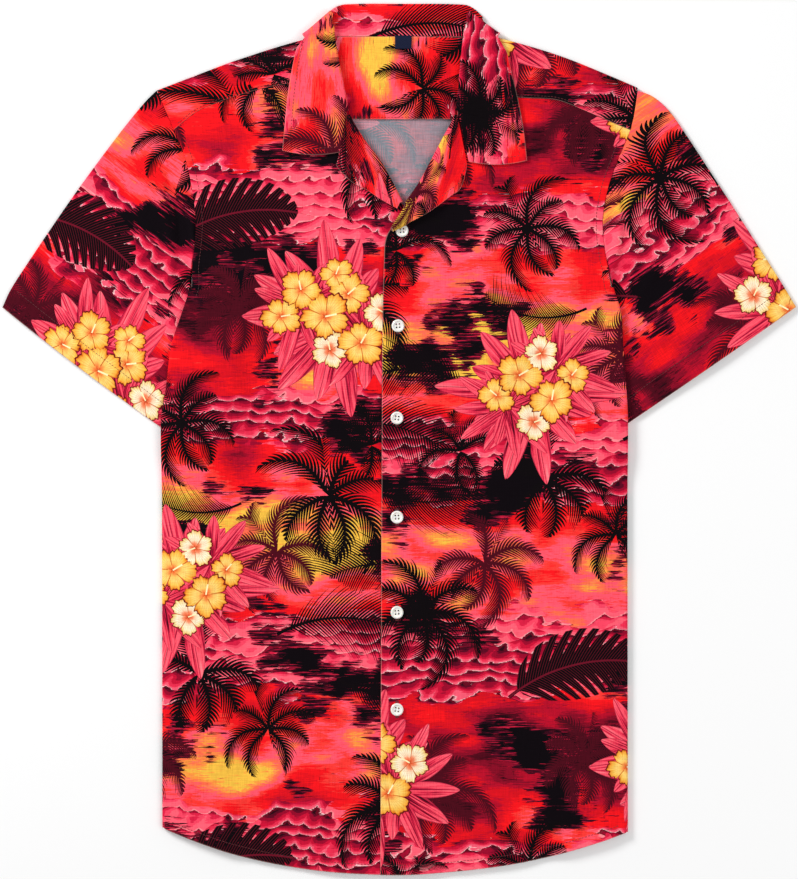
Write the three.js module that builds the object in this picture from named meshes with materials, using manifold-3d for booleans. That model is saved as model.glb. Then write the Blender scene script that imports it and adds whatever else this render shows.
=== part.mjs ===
// A short-sleeved hawaiian shirt with a camp collar, laid flat on its back with its sides turned under.
// Millimetres, +Z up, +Y towards the collar. Left and right are the wearer's: left is at +X.
import * as THREE from "three";
import { mergeVertices } from "three/addons/utils/BufferGeometryUtils.js";
import Module from "manifold-3d";

const wasm = await Module();
wasm.setup();

// Driving sizes
const CLOTH = 1.0;
const COLLAR_CLOTH = 1.2;
const SEAM_GAP = 0.3;
const LAYER = CLOTH + SEAM_GAP;
const COLLAR_LAYER = COLLAR_CLOTH + SEAM_GAP;
const HALF = CLOTH / 2;
const COLLAR_HALF = COLLAR_CLOTH / 2;
const TURNED_BACK = HALF + 2 * SEAM_GAP + COLLAR_HALF;
const BACK_YOKE_SEAM = 291;
const NECK_SEAM = 363;
const V_POINT = { x: 3.6, y: 212.4 };
const GORGE_TOP = 295;
const UNDERLAP_EDGE = 12.5;
const TURNED_UNDER = 47;
const FOLD_TOP = 137;
const CENTRE_LIFT_IN = 52;
const CENTRE_LIFT_OUT = 80;
const EASE = 1;
const FULLNESS = 1.0;
const ROLL_RISE = 1.4;
const BACK_HEM_SHORTER = 3;
const SLEEVE_FULLNESS = 1.7;
const SLEEVE_EDGE = 2.6;
const BUTTON_WIDTH = 11.5;
const BUTTON_HEIGHT = 2.3;
const LABEL = { x: 3, y: 357.5, width: 15, height: 12 };

// The body's side outline: the armhole seam down to FOLD_TOP, then the fold of the turned-under side.
const SIDE_EDGE = [
  { y: 315, right: -219, left: 214 },
  { y: 282, right: -204.6, left: 208 },
  { y: 255, right: -193.6, left: 197 },
  { y: 228, right: -187.3, left: 187.5 },
  { y: 203, right: -184, left: 182.7 },
  { y: 184, right: -184, left: 182.7 },
  { y: 160, right: -186.5, left: 186 },
  { y: 137, right: -189, left: 192 },
  { y: 114, right: -196.3, left: 199 },
  { y: 85, right: -205.6, left: 200.7 },
  { y: 40, right: -211.5, left: 204 },
  { y: 19, right: -215, left: 205 },
  { y: -54, right: -214.2, left: 204.7 },
  { y: -349, right: -213.8, left: 205 },
];

// The roll edge of collar and lapel, from the top of the collar to the V point.
const ROLL_EDGE = [
  { y: 390, right: -60, left: 60 },
  { y: 361, right: -58, left: 56.4 },
  { y: 328, right: -52, left: 53.1 },
  { y: 308, right: -48, left: 51.3 },
  { y: 292, right: -44.6, left: 48.6 },
  { y: 269, right: -31, left: 36.9 },
  { y: 252, right: -18, left: 27.9 },
  { y: 232, right: -6.5, left: 17.1 },
  { y: 212.4, right: 3.6, left: 3.6 },
];

// Neck edge of each front under the collar leaf, and its front edge below the V point.
const FRONT_EDGE = [
  { y: 330, right: -63, left: 66 },
  { y: 311, right: -55, left: 60 },
  { y: 295, right: -48, left: 51.6 },
];
const CLOSURE_EDGE = [
  { y: 212.4, right: 3.6, left: 4.4 },
  { y: 203, right: 9, left: 1.2 },
  { y: 195, right: 11.6, left: -3.4 },
  { y: 188, right: 12.3, left: -9.6 },
  { y: 179, right: UNDERLAP_EDGE, left: -13.2 },
  { y: 165, right: UNDERLAP_EDGE, left: -14.2 },
  { y: 99, right: UNDERLAP_EDGE, left: -15.8 },
  { y: -395, right: UNDERLAP_EDGE, left: -17.7 },
];

// Hem of the fronts and the back, a shallow shirt tail.
const HEM = [
  { x: -214, y: -348.2 },
  { x: -207, y: -351.5 },
  { x: -180, y: -362.3 },
  { x: -144, y: -374 },
  { x: -108, y: -382.1 },
  { x: -72, y: -387.5 },
  { x: -36, y: -390.2 },
  { x: 0, y: -391.1 },
  { x: 36, y: -389.3 },
  { x: 72, y: -385.7 },
  { x: 108, y: -380.3 },
  { x: 144, y: -372.2 },
  { x: 180, y: -361.4 },
  { x: 205, y: -352.4 },
];

// Shoulder fold and front yoke seam, by distance from the middle.
const SHOULDER = [
  { across: 79, right: 361.6, left: 364 },
  { across: 90, right: 359.2, left: 361.3 },
  { across: 117, right: 351.4, left: 354 },
  { across: 135, right: 345.6, left: 348.6 },
  { across: 153, right: 339.6, left: 342.3 },
  { across: 171, right: 332.8, left: 335.1 },
  { across: 207, right: 319, left: 319.9 },
  { across: 220, right: 314, left: 313.9 },
];
const FRONT_YOKE_SEAM = [
  { across: 55, right: 324.6, left: 311.6 },
  { across: 105, right: 320, left: 308 },
  { across: 135, right: 312.6, left: 306 },
  { across: 150, right: 309.6, left: 304 },
  { across: 173, right: 299, left: 292.6 },
  { across: 190, right: 291.6, left: 286 },
  { across: 208, right: 279, left: 279 },
];

// Collar: the fold behind the neck, the leaf's outer edge and the ends of its top edge.
const COLLAR_TOP = [
  { x: -66, y: 383 },
  { x: -58, y: 389.4 },
  { x: -48, y: 392 },
  { x: 0, y: 392.4 },
  { x: 58, y: 391.6 },
  { x: 66, y: 388.4 },
  { x: 74, y: 381 },
];
const LEAF_EDGE = [
  { t: 0, rightX: -90.5, rightY: 362, leftX: 92.6, leftY: 363 },
  { t: 0.25, rightX: -96.5, rightY: 336, leftX: 101, leftY: 327 },
  { t: 0.5, rightX: -100.8, rightY: 310.5, leftX: 106.4, leftY: 304 },
  { t: 0.75, rightX: -103.6, rightY: 283, leftX: 111, leftY: 279 },
  { t: 1, rightX: -105.8, rightY: 260.1, leftX: 114.3, leftY: 251.1 },
];
const LEAF_INNER_CORNER = { right: { x: -53.1, y: 258.7 }, left: { x: 61.4, y: 250.2 } };
const LEAF_END_BOW = 3.2;

// Lapel: outer edge from the notch, round the corner, to its end at the V point.
const LAPEL_EDGE = [
  { t: 0, rightX: -54.2, rightY: 255, leftX: 60.2, leftY: 248.4 },
  { t: 0.1, rightX: -57.2, rightY: 247, leftX: 59, leftY: 240 },
  { t: 0.22, rightX: -51, rightY: 239, leftX: 54.4, leftY: 226 },
  { t: 0.36, rightX: -43, rightY: 231.6, leftX: 46, leftY: 219.6 },
  { t: 0.55, rightX: -29, rightY: 224, leftX: 36, leftY: 211.8 },
  { t: 0.75, rightX: -18, rightY: 216.6, leftX: 24, leftY: 203.4 },
  { t: 1, rightX: -4.6, rightY: 209, leftX: 8.6, leftY: 195.2 },
];

// Sleeves: cuff corners, the hidden underarm corner, how far the top fold stands out from a straight
// line, and the cuff from one.
const SLEEVE = {
  right: {
    outer: { x: -357.7, y: 119.3 },
    inner: { x: -199.4, y: 0.6 },
    underarm: { x: -171, y: 124 },
  },
  left: {
    outer: { x: 356.4, y: 119.7 },
    inner: { x: 189.8, y: 4.8 },
    underarm: { x: 174, y: 124 },
  },
};
const SLEEVE_HEAD = [
  { v: 0, right: 0, left: 0 },
  { v: 0.05, right: 2.2, left: 7.6 },
  { v: 0.13, right: 3.9, left: 11.8 },
  { v: 0.25, right: 5.2, left: 11.4 },
  { v: 0.4, right: 6, left: 9.5 },
  { v: 0.53, right: 6.1, left: 7.8 },
  { v: 0.66, right: 5.6, left: 5.9 },
  { v: 0.8, right: 4.7, left: 3.8 },
  { v: 0.93, right: 3.2, left: 1.5 },
  { v: 1, right: 0, left: 0 },
];
const CUFF_BOW = { right: 2, left: 0.7 };
const SLEEVE_STATIONS = [0, 0.05, 0.13, 0.2, 0.28, 0.4, 0.55, 0.7, 0.85, 0.93, 1];

// Heights where rows of the body and of the sleeve meet along the armhole.
const YOKE_ROWS = [303, BACK_YOKE_SEAM];
const FRONT_TOP = 279;
const ARMHOLE_ROWS = [FRONT_TOP, 261, 243, 225, 207, 189, 171, 154, FOLD_TOP];
const SIDE_BOTTOM = -349;
const FOLD_ROWS = [119, 99, 76, 51, 26, 4, -16, -40, -85, -145, -205, -262, -312, SIDE_BOTTOM];
const HEM_ROWS = 6;
const V_ROW = 5;

const BUTTONS = [
  { x: 1.8, y: 188.1 },
  { x: -1.8, y: 102.6 },
  { x: -2.7, y: 19.8 },
  { x: -2.7, y: -69.3 },
  { x: -2.7, y: -154.8 },
  { x: -2.7, y: -242.1 },
];

const SIGN = { right: -1, left: 1 };
const mix = THREE.MathUtils.lerp;
const point = (x, y, z) => new THREE.Vector3(x, y, z);
const steps = (count) => Array.from({ length: count + 1 }, (_, k) => k / count);

// Smooth rise from 0 at one value to 1 at another.
function rise(value, from, to) {
  const t = THREE.MathUtils.clamp((value - from) / (to - from), 0, 1);
  return t * t * (3 - 2 * t);
}

// Value of one column of a table at a value of another, on a smooth curve through its rows.
function along(rows, from, to, value) {
  const last = rows.length - 1;
  const up = rows[last][from] > rows[0][from];
  const past = rows.findIndex((row) => (up ? row[from] > value : row[from] < value));
  const q = past < 0 ? last : Math.max(past, 1);
  const slope = (k) => {
    const a = rows[Math.max(k - 1, 0)];
    const b = rows[Math.min(k + 1, last)];
    return (b[to] - a[to]) / (b[from] - a[from]);
  };
  const a = rows[q - 1];
  const b = rows[q];
  const span = b[from] - a[from];
  const t = THREE.MathUtils.clamp((value - a[from]) / span, 0, 1);
  const s = 1 - t;
  return (1 + 2 * t) * s * s * a[to] + t * s * s * span * slope(q - 1)
    + t * t * (3 - 2 * t) * b[to] - t * t * s * span * slope(q);
}

const sideX = (side, y) => along(SIDE_EDGE, "y", side, y);
const rollX = (side, y) => along(ROLL_EDGE, "y", side, y);
const hemY = (x) => along(HEM, "x", "y", x);
const inward = (x, y) => Math.min(x - sideX("right", y), sideX("left", y) - x);

// Height added to every layer of the body over the sleeves and over its own turned-under sides.
const nearSide = (x, y) => (
  2 * LAYER * rise(inward(x, y), CENTRE_LIFT_OUT, CENTRE_LIFT_IN) * rise(y, 172, 138)
);
const overSleeve = (x, y) => nearSide(x, y) * rise(y, -40, -6);
const bodyLift = (x, y) => nearSide(x, y) + overSleeve(x, y);

// Height added to the yoke and fronts over the collar's fall, which lies on the surface.
const overFall = (x, y) => COLLAR_LAYER * rise(Math.abs(x), 140, 102) * rise(y, 291, 323);

const backZ = (x, y) => HALF + bodyLift(x, y) + overFall(x, y);

// Middle of a front, or of the yoke's front flap, over all that lies below it.
function frontZ(side, x, y) {
  const fromRoll = SIGN[side] * (x - rollX(side, Math.max(y, V_POINT.y)));
  const overFacing = 2 * rise(fromRoll, 42, 14) * rise(y, 178, 207) * rise(y, 332, 312);
  const overYoke = LAYER * rise(y, 262, 286);
  const overlap = side === "left" ? LAYER * rise(x, 44, 16) * rise(y, 234, 213) : 0;
  const full = FULLNESS * rise(inward(x, y), 70, 130) * rise(y, -345, -280) * rise(y, 205, 150);
  const ease = EASE * rise(inward(x, y), 3, 24);
  return backZ(x, y) + LAYER + overFacing + overYoke + overlap + full + ease;
}

// Middle of what is turned back on a front: collar leaf and lapel, fuller at the roll.
function leafZ(side, x, y) {
  const fromRoll = SIGN[side] * (x - rollX(side, y));
  return frontZ(side, x, y) + TURNED_BACK + ROLL_RISE * rise(fromRoll, 24, 3);
}

// Inside points of a half-round turn in the cloth, from its lower layer out and up to its upper one.
function turn(centre, outward, low, high, count) {
  const radius = (high - low) / 2;
  return steps(count).slice(1, -1).map((t) => {
    const angle = Math.PI * (t - 0.5);
    const out = radius * Math.cos(angle);
    const z = low + radius * (1 + Math.sin(angle));
    return point(centre.x + outward.x * out, centre.y + outward.y * out, z);
  });
}

// A closed wall of even thickness on both sides of a grid of points; a ring joins its last column
// to its first, and cells that keep() refuses are left open.
function wall(grid, thickness, { ring = false, keep = () => true } = {}) {
  const columns = grid[0].length;
  const points = grid.flat();
  const cells = [];
  for (let i = 0; i < grid.length - 1; i += 1) {
    for (let j = 0; j < (ring ? columns : columns - 1); j += 1) {
      const next = (j + 1) % columns;
      if (keep(i, j)) {
        const near = i * columns;
        const far = near + columns;
        cells.push([near + j, near + next, far + next, far + j]);
      }
    }
  }
  const normals = points.map(() => point(0, 0, 0));
  const edges = new Set();
  for (const cell of cells) {
    const across = points[cell[2]].clone().sub(points[cell[0]]);
    const normal = across.cross(points[cell[3]].clone().sub(points[cell[1]])).normalize();
    cell.forEach((corner, k) => {
      normals[corner].add(normal);
      edges.add(`${corner} ${cell[(k + 1) % 4]}`);
    });
  }
  const place = [];
  const addSide = (way) => points.forEach((p, k) => {
    const shift = normals[k].clone().normalize().multiplyScalar((way * thickness) / 2);
    place.push(...p.clone().add(shift).toArray());
  });
  addSide(1);
  addSide(-1);
  const count = points.length;
  const index = [];
  for (const [a, b, c, d] of cells) {
    index.push(a, b, c, a, c, d);
    index.push(a + count, c + count, b + count, a + count, d + count, c + count);
    for (const [p, q] of [[a, b], [b, c], [c, d], [d, a]]) {
      if (!edges.has(`${q} ${p}`)) {
        index.push(q, p, p + count, q, p + count, q + count);
      }
    }
  }
  const geometry = new THREE.BufferGeometry();
  geometry.setAttribute("position", new THREE.Float32BufferAttribute(place, 3));
  geometry.setIndex(index);
  return mergeVertices(geometry.toNonIndexed(), 1e-4);
}

function toSolid(geometry) {
  const bare = geometry.clone();
  bare.deleteAttribute("normal");
  bare.deleteAttribute("uv");
  const merged = mergeVertices(bare, 1e-4);
  return new wasm.Manifold(new wasm.Mesh({
    numProp: 3,
    vertProperties: new Float32Array(merged.getAttribute("position").array),
    triVerts: new Uint32Array(merged.getIndex().array),
  }));
}

function fromSolid(solid) {
  const { vertProperties, triVerts } = solid.getMesh();
  const geometry = new THREE.BufferGeometry();
  geometry.setAttribute("position", new THREE.Float32BufferAttribute(vertProperties, 3));
  geometry.setIndex(new THREE.Uint32BufferAttribute(triVerts, 1));
  return geometry;
}

const shirt = new THREE.Group();

function addPiece(name, geometry, colour, roughness) {
  geometry.computeVertexNormals();
  const material = new THREE.MeshStandardMaterial({ color: colour, roughness, metalness: 0 });
  material.name = name;
  const mesh = new THREE.Mesh(geometry, material);
  mesh.name = name;
  shirt.add(mesh);
  return mesh;
}

// Width of the side that is turned under, narrow where it lies on the sleeve.
const UNDER_AT_ARMPIT = 8;
const underWidth = (y) => mix(UNDER_AT_ARMPIT, TURNED_UNDER, rise(y, 128, 70));

// Share of the hem's curve that a row takes, the last row all of it.
const nearHem = (y) => rise(FOLD_ROWS.indexOf(y), FOLD_ROWS.length - 1 - HEM_ROWS, FOLD_ROWS.length - 1);

// One side of a row of the body: the strip turned under and the turn at the fold, and where the
// flat of the panel starts. Above the fold the panel ends at the armhole seam. The strip's hem is
// as much shorter as the panel's own.
function bodySide(side, row, low, high, shorter) {
  const sign = SIGN[side];
  const folded = row <= FOLD_TOP;
  const frontTurn = (3 * LAYER) / 2;
  const y = row + (hemY(sideX(side, row)) - SIDE_BOTTOM + shorter) * nearHem(row);
  const centre = { x: sideX(side, row) - sign * (folded ? HALF + frontTurn : 0), y };
  const strip = steps(3).reverse().map((t) => {
    const x = centre.x - sign * t * underWidth(row);
    return point(x, y, low + overSleeve(x, row));
  });
  const base = low + overSleeve(centre.x, row);
  const round = turn(centre, { x: sign, y: 0 }, base, base + high - low, 4);
  return { centre, under: [...strip, ...round] };
}
const UNDER_COLUMNS = 7;

// Height of a front's own edge at the level of a row of its side.
const NECK_CORNER_IN = 58;
const V_OVER_FOLD = 22;
function edgeY(side, y) {
  const top = along(FRONT_YOKE_SEAM, "across", side, NECK_CORNER_IN);
  const vSide = ARMHOLE_ROWS[V_ROW];
  if (y >= vSide) {
    return mix(V_POINT.y, top, (y - vSide) / (FRONT_TOP - vSide));
  }
  const foldY = FOLD_TOP + V_OVER_FOLD;
  return y >= FOLD_TOP
    ? mix(foldY, V_POINT.y, (y - FOLD_TOP) / (vSide - FOLD_TOP))
    : mix(hemY(0), foldY, (y - SIDE_BOTTOM) / (FOLD_TOP - SIDE_BOTTOM));
}

// A front's own edge: neck edge, then just inside the roll of the lapel, then the closing edge.
function edgeX(side, y) {
  const inset = SIGN[side] * (COLLAR_HALF + TURNED_BACK + ROLL_RISE / 2);
  if (y > GORGE_TOP) {
    return along(FRONT_EDGE, "y", side, y);
  }
  if (y > V_POINT.y - 0.01) {
    return rollX(side, y) + inset;
  }
  return along(CLOSURE_EDGE, "y", side, y);
}

// Shares of the width where the yoke seam has its corners, and a column between each two.
const SEAM_COLUMNS = [0, 0.14, 0.28, 0.45, 0.62, 0.78, 0.9, 1];
const FRONT_COLUMNS = SEAM_COLUMNS.flatMap((u, k) => (k ? [(u + SEAM_COLUMNS[k - 1]) / 2, u] : [u]));

// A point of the front yoke seam, on the straight stretches between its corners.
function yokeSeam(side, u) {
  const corner = { x: edgeX(side, edgeY(side, FRONT_TOP)), y: edgeY(side, FRONT_TOP) };
  const place = (share) => {
    const x = mix(sideX(side, FRONT_TOP), corner.x, share);
    if (share === 0) {
      return { x, y: FRONT_TOP };
    }
    return share === 1 ? corner : { x, y: along(FRONT_YOKE_SEAM, "across", side, Math.abs(x)) };
  };
  const k = Math.max(SEAM_COLUMNS.findIndex((share) => share >= u), 1);
  const t = (u - SEAM_COLUMNS[k - 1]) / (SEAM_COLUMNS[k] - SEAM_COLUMNS[k - 1]);
  const a = place(SEAM_COLUMNS[k - 1]);
  const b = place(SEAM_COLUMNS[k]);
  return { x: mix(a.x, b.x, t), y: mix(a.y, b.y, t) };
}

function frontPanel(side) {
  const rows = [...ARMHOLE_ROWS, ...FOLD_ROWS];
  const grid = rows.map((y, i) => {
    const { centre, under } = bodySide(side, y, HALF, HALF + 3 * LAYER, 0);
    const edge = { x: edgeX(side, edgeY(side, y)), y: edgeY(side, y) };
    const nearTop = rise(i, V_ROW, 0);
    const flat = FRONT_COLUMNS.map((u) => {
      const x = mix(centre.x, edge.x, u);
      const level = mix(y, edge.y, u);
      const top = yokeSeam(side, u).y - SEAM_GAP;
      const topLine = mix(FRONT_TOP, edgeY(side, FRONT_TOP), u);
      const hemLine = mix(SIDE_BOTTOM, hemY(0), u);
      const shifted = level + (top - topLine) * nearTop + (hemY(x) - hemLine) * nearHem(y);
      return point(x, shifted, frontZ(side, x, shifted));
    });
    return [...under, ...flat];
  });
  const fold = ARMHOLE_ROWS.length - 1;
  return wall(grid, CLOTH, { keep: (i, j) => i >= fold || j >= UNDER_COLUMNS });
}

// Shares of the back's width, close together where it is lifted over what is turned under.
const BACK_HALF_COLUMNS = [0, 0.035, 0.075, 0.115, 0.155, 0.2, 0.3, 0.45];
const BACK_COLUMNS = [...BACK_HALF_COLUMNS, ...BACK_HALF_COLUMNS.map((u) => 1 - u).reverse()];

function backPanel() {
  const rows = [BACK_YOKE_SEAM - SEAM_GAP, ...ARMHOLE_ROWS, ...FOLD_ROWS];
  const low = HALF + LAYER;
  const grid = rows.map((y) => {
    const right = bodySide("right", y, low, low + LAYER, BACK_HEM_SHORTER);
    const left = bodySide("left", y, low, low + LAYER, BACK_HEM_SHORTER);
    const flat = BACK_COLUMNS.map((u) => {
      const x = mix(right.centre.x, left.centre.x, u);
      const shifted = y + (hemY(x) - SIDE_BOTTOM + BACK_HEM_SHORTER) * nearHem(y);
      return point(x, shifted, backZ(x, shifted));
    });
    return [...right.under, ...flat, ...left.under.reverse()];
  });
  const fold = ARMHOLE_ROWS.length;
  const last = grid[0].length - 1 - UNDER_COLUMNS;
  return wall(grid, CLOTH, { keep: (i, j) => i >= fold || (j >= UNDER_COLUMNS && j < last) });
}

// Across the yoke: shoulder, neck, shoulder. Each column has its place at the top edge.
const SHOULDER_COLUMNS = SEAM_COLUMNS.length - 1;
const NECK_COLUMNS = 6;
const NECK_CORNER = 79;
const ARM_POINT_Y = 315;
const shoulderY = (side, x) => along(SHOULDER, "across", side, Math.abs(x));

function yokeColumns() {
  const columns = [];
  const total = 2 * SHOULDER_COLUMNS + NECK_COLUMNS;
  for (let c = 0; c <= total; c += 1) {
    const side = c < total / 2 ? "right" : "left";
    const fromEdge = Math.min(c, total - c);
    const flap = fromEdge <= SHOULDER_COLUMNS;
    const t = flap ? SEAM_COLUMNS[fromEdge] : 1;
    const armX = Math.abs(sideX(side, ARM_POINT_Y - 1));
    const neckT = (c - SHOULDER_COLUMNS) / NECK_COLUMNS;
    const x = flap ? SIGN[side] * mix(armX, NECK_CORNER, t) : mix(-NECK_CORNER, NECK_CORNER, neckT);
    columns.push({ side, flap, t, x });
  }
  return columns;
}
const YOKE_BACK = [0.25, 0.5, 0.75, 1];
const yokeBackX = (x) => x * (1 - 0.045 * rise(Math.abs(x), 60, 216));

// Neck edge of the yoke's front flap, from its seam corner up to the shoulder.
const UNDER_SHOULDER = 1.7;
function neckX(side, y) {
  const corner = yokeSeam(side, 1);
  if (y <= corner.y) {
    return edgeX(side, y);
  }
  const top = shoulderY(side, NECK_CORNER) - UNDER_SHOULDER;
  return mix(corner.x, SIGN[side] * NECK_CORNER, (y - corner.y) / (top - corner.y));
}

// Direction out of the shoulder fold, square to its slope.
const shoulderOut = (sign) => ({ x: sign * 0.31, y: 0.95 });

function yokeOuter() {
  const shoulderTurn = LAYER;
  const columns = yokeColumns();
  const frontRows = [FRONT_TOP, BACK_YOKE_SEAM, 303];
  const grid = Array.from({ length: 8 + YOKE_BACK.length }, () => []);
  for (const { side, flap, t, x } of columns) {
    const sign = SIGN[side];
    const outward = shoulderOut(sign);
    const inset = flap ? HALF + shoulderTurn : 0;
    const edgeFold = flap ? shoulderY(side, x) : NECK_SEAM - SEAM_GAP;
    const top = { x: x - outward.x * inset, y: edgeFold - outward.y * inset };
    const seam = flap ? yokeSeam(side, t) : top;
    frontRows.forEach((level, r) => {
      const f = (level - FRONT_TOP) / (ARM_POINT_Y - FRONT_TOP);
      const px = t === 0 ? sideX(side, level) : mix(seam.x, top.x, f);
      const py = t === 0 ? level : mix(seam.y, top.y, f);
      grid[r].push(point(px, py, frontZ(side, px, py)));
    });
    const low = backZ(top.x, top.y);
    grid[3].push(point(top.x, top.y, low + 2 * shoulderTurn));
    turn(top, outward, low, low + 2 * shoulderTurn, 4)
      .reverse()
      .forEach((p, k) => grid[4 + k].push(p));
    grid[7].push(point(top.x, top.y, low));
    YOKE_BACK.forEach((f, r) => {
      const level = mix(ARM_POINT_Y, BACK_YOKE_SEAM, f);
      const px = t === 0 ? sideX(side, level) : mix(top.x, yokeBackX(x), f);
      const py = t === 0 ? level : mix(top.y, BACK_YOKE_SEAM, f);
      grid[8 + r].push(point(px, py, backZ(px, py)));
    });
  }
  const neckEnd = SHOULDER_COLUMNS + NECK_COLUMNS;
  return wall(grid, CLOTH, { keep: (i, j) => i >= 7 || j < SHOULDER_COLUMNS || j >= neckEnd });
}

// The inner yoke clears the shoulder fold round it, and its lower edge covers the seam.
function yokeInner() {
  const clear = 3;
  const lower = BACK_YOKE_SEAM - 2.5;
  const grid = [0, ...YOKE_BACK].map((t) => yokeColumns().map(({ side, flap, x }) => {
    const sign = SIGN[side];
    const top = flap
      ? { x: x - sign * clear, y: shoulderY(side, x) - clear - 0.6 }
      : { x, y: NECK_SEAM - SEAM_GAP };
    const px = mix(top.x, yokeBackX(x) - sign * clear * rise(Math.abs(x), 80, 200), t);
    const py = mix(top.y, lower, t);
    return point(px, py, backZ(px, py) + LAYER);
  }));
  return wall(grid, CLOTH);
}

// Direction square to the roll edge, towards the neck opening.
function rollOutward(side, y) {
  const slope = (rollX(side, y - 2) - rollX(side, y + 2)) / -4;
  const length = Math.hypot(1, slope);
  return { x: -SIGN[side] / length, y: (SIGN[side] * slope) / length };
}

// The facing: a narrow leg inside the front, the roll, and the lapel lying on the front.
function facing(side) {
  const sign = SIGN[side];
  const bottom = side === "left" ? 215.5 : 217.5;
  const grid = steps(9).map((t) => {
    const y = mix(GORGE_TOP - 2.6, bottom, t);
    const out = rollOutward(side, y);
    const edgeZ = frontZ(side, rollX(side, y) + sign * 4, y);
    const high = edgeZ + TURNED_BACK + ROLL_RISE;
    const low = edgeZ - TURNED_BACK;
    const inset = COLLAR_HALF + (high - low) / 2;
    const centre = { x: rollX(side, y) - out.x * inset, y: y - out.y * inset };
    const leg = [8, 4, 0].map((deep) => {
      const x = centre.x - out.x * deep;
      const legY = centre.y - out.y * deep;
      return point(x, legY, Math.min(low, frontZ(side, x, legY) - TURNED_BACK));
    });
    const edge = {
      x: along(LAPEL_EDGE, "t", `${side}X`, t),
      y: along(LAPEL_EDGE, "t", `${side}Y`, t),
    };
    const lapel = steps(5).map((u) => {
      const x = mix(centre.x, edge.x, u);
      const lapelY = mix(centre.y, edge.y, u);
      return point(x, lapelY, u === 0 ? high : leafZ(side, x, lapelY));
    });
    return [...leg, ...turn(centre, out, low, high, 5), ...lapel];
  });
  return wall(grid, COLLAR_CLOTH);
}

const LEAF_STATIONS = 10;
const LEAF_TOP = 385;
const ROLL_SHARE = 0.72;
const WRAP_INSET = COLLAR_HALF + 2.7;
const WRAP_UNDER = 13;

// A collar leaf: hidden stand, roll, leaf, and its turn round the shoulder under the back neck.
function collarLeaf(side) {
  const sign = SIGN[side];
  const gorge = LEAF_INNER_CORNER[side];
  const stations = steps(LEAF_STATIONS);
  const leafColumns = stations.map((s) => {
    const onRoll = s < ROLL_SHARE;
    const y = onRoll ? mix(LEAF_TOP, GORGE_TOP, s / ROLL_SHARE) : 0;
    const innerZ = onRoll ? frontZ(side, rollX(side, y) + sign * 3, y) : 0;
    const rollHigh = innerZ + TURNED_BACK + ROLL_RISE;
    const inset = COLLAR_HALF + (rollHigh - innerZ) / 2;
    const down = (s - ROLL_SHARE) / (1 - ROLL_SHARE);
    const gap = sign * 0.5;
    const inner = onRoll
      ? { x: rollX(side, y) + sign * inset, y }
      : {
        x: mix(rollX(side, GORGE_TOP) + sign * 2, gorge.x, down) + gap,
        y: mix(GORGE_TOP, gorge.y, down),
      };
    const outer = {
      x: along(LEAF_EDGE, "t", `${side}X`, s),
      y: along(LEAF_EDGE, "t", `${side}Y`, s),
    };
    const stand = [1, 0.5, 0].map((u) => {
      const x = mix(inner.x, neckX(side, inner.y) - sign * 0.9, u);
      return point(x, inner.y, innerZ);
    });
    const round = turn(inner, { x: -sign, y: 0 }, innerZ, rollHigh, 4);
    const leaf = steps(6).map((u) => {
      const x = mix(inner.x, outer.x, u);
      const bow = LEAF_END_BOW * 4 * u * (1 - u) * s ** 4;
      const level = mix(inner.y, outer.y, u) - bow;
      return point(x, level, onRoll && u === 0 ? rollHigh : leafZ(side, x, level));
    });
    return [...stand, ...round, ...leaf];
  });
  const skip = 6;
  const first = leafColumns[0];
  const along0 = first[first.length - 1].clone().sub(first[skip]).setZ(0).normalize();
  const outward = { x: along0.y * -sign, y: along0.x * sign };
  const wrap = [];
  const shift = (p, by, z) => point(p.x + outward.x * by, p.y + outward.y * by, z);
  const lows = first.map((p) => shift(p, -WRAP_INSET, p.z));
  const turned = lows.map((p) => turn(p, outward, COLLAR_HALF, p.z, 5));
  wrap.push(lows.map((p) => shift(p, -WRAP_UNDER, COLLAR_HALF)));
  wrap.push(lows.map((p) => shift(p, 0, COLLAR_HALF)));
  for (let k = 0; k < 4; k += 1) {
    wrap.push(turned.map((points) => points[k]));
  }
  leafColumns[0] = lows;
  const grid = [...wrap, ...leafColumns];
  const rollEnd = wrap.length + Math.floor(ROLL_SHARE * LEAF_STATIONS);
  const keep = (i, j) => (j < skip ? i >= wrap.length + 2 && i < rollEnd : true);
  return wall(grid, COLLAR_CLOTH, { keep });
}

// Behind the neck: the stand seen from inside, its fold at the top, and the fall on the surface.
const FALL_HEM = 327;
function collarBack() {
  const radius = 1.05;
  const low = COLLAR_HALF;
  const grid = steps(10).map((t) => {
    const seam = { x: mix(-64, 62, t), y: NECK_SEAM };
    const foldX = mix(-66, 74, t);
    const top = { x: foldX, y: along(COLLAR_TOP, "x", "y", foldX) - COLLAR_HALF - radius };
    const hem = { x: mix(-97, 100, t), y: FALL_HEM };
    const high = low + 2 * radius;
    const between = (from, to, u, z) => point(mix(from.x, to.x, u), mix(from.y, to.y, u), z);
    const stand = steps(3).map((u) => between(seam, top, u, mix(high + 0.5, high, u)));
    const fall = steps(4).map((u) => between(top, hem, u, low));
    return [...stand, ...turn(top, { x: 0, y: 1 }, low, high, 4).reverse(), ...fall];
  });
  return wall(grid, COLLAR_CLOTH);
}

function collar() {
  const parts = [collarBack(), collarLeaf("right"), collarLeaf("left")].map(toSolid);
  return fromSolid(parts[0].add(parts[1]).add(parts[2]));
}

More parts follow.
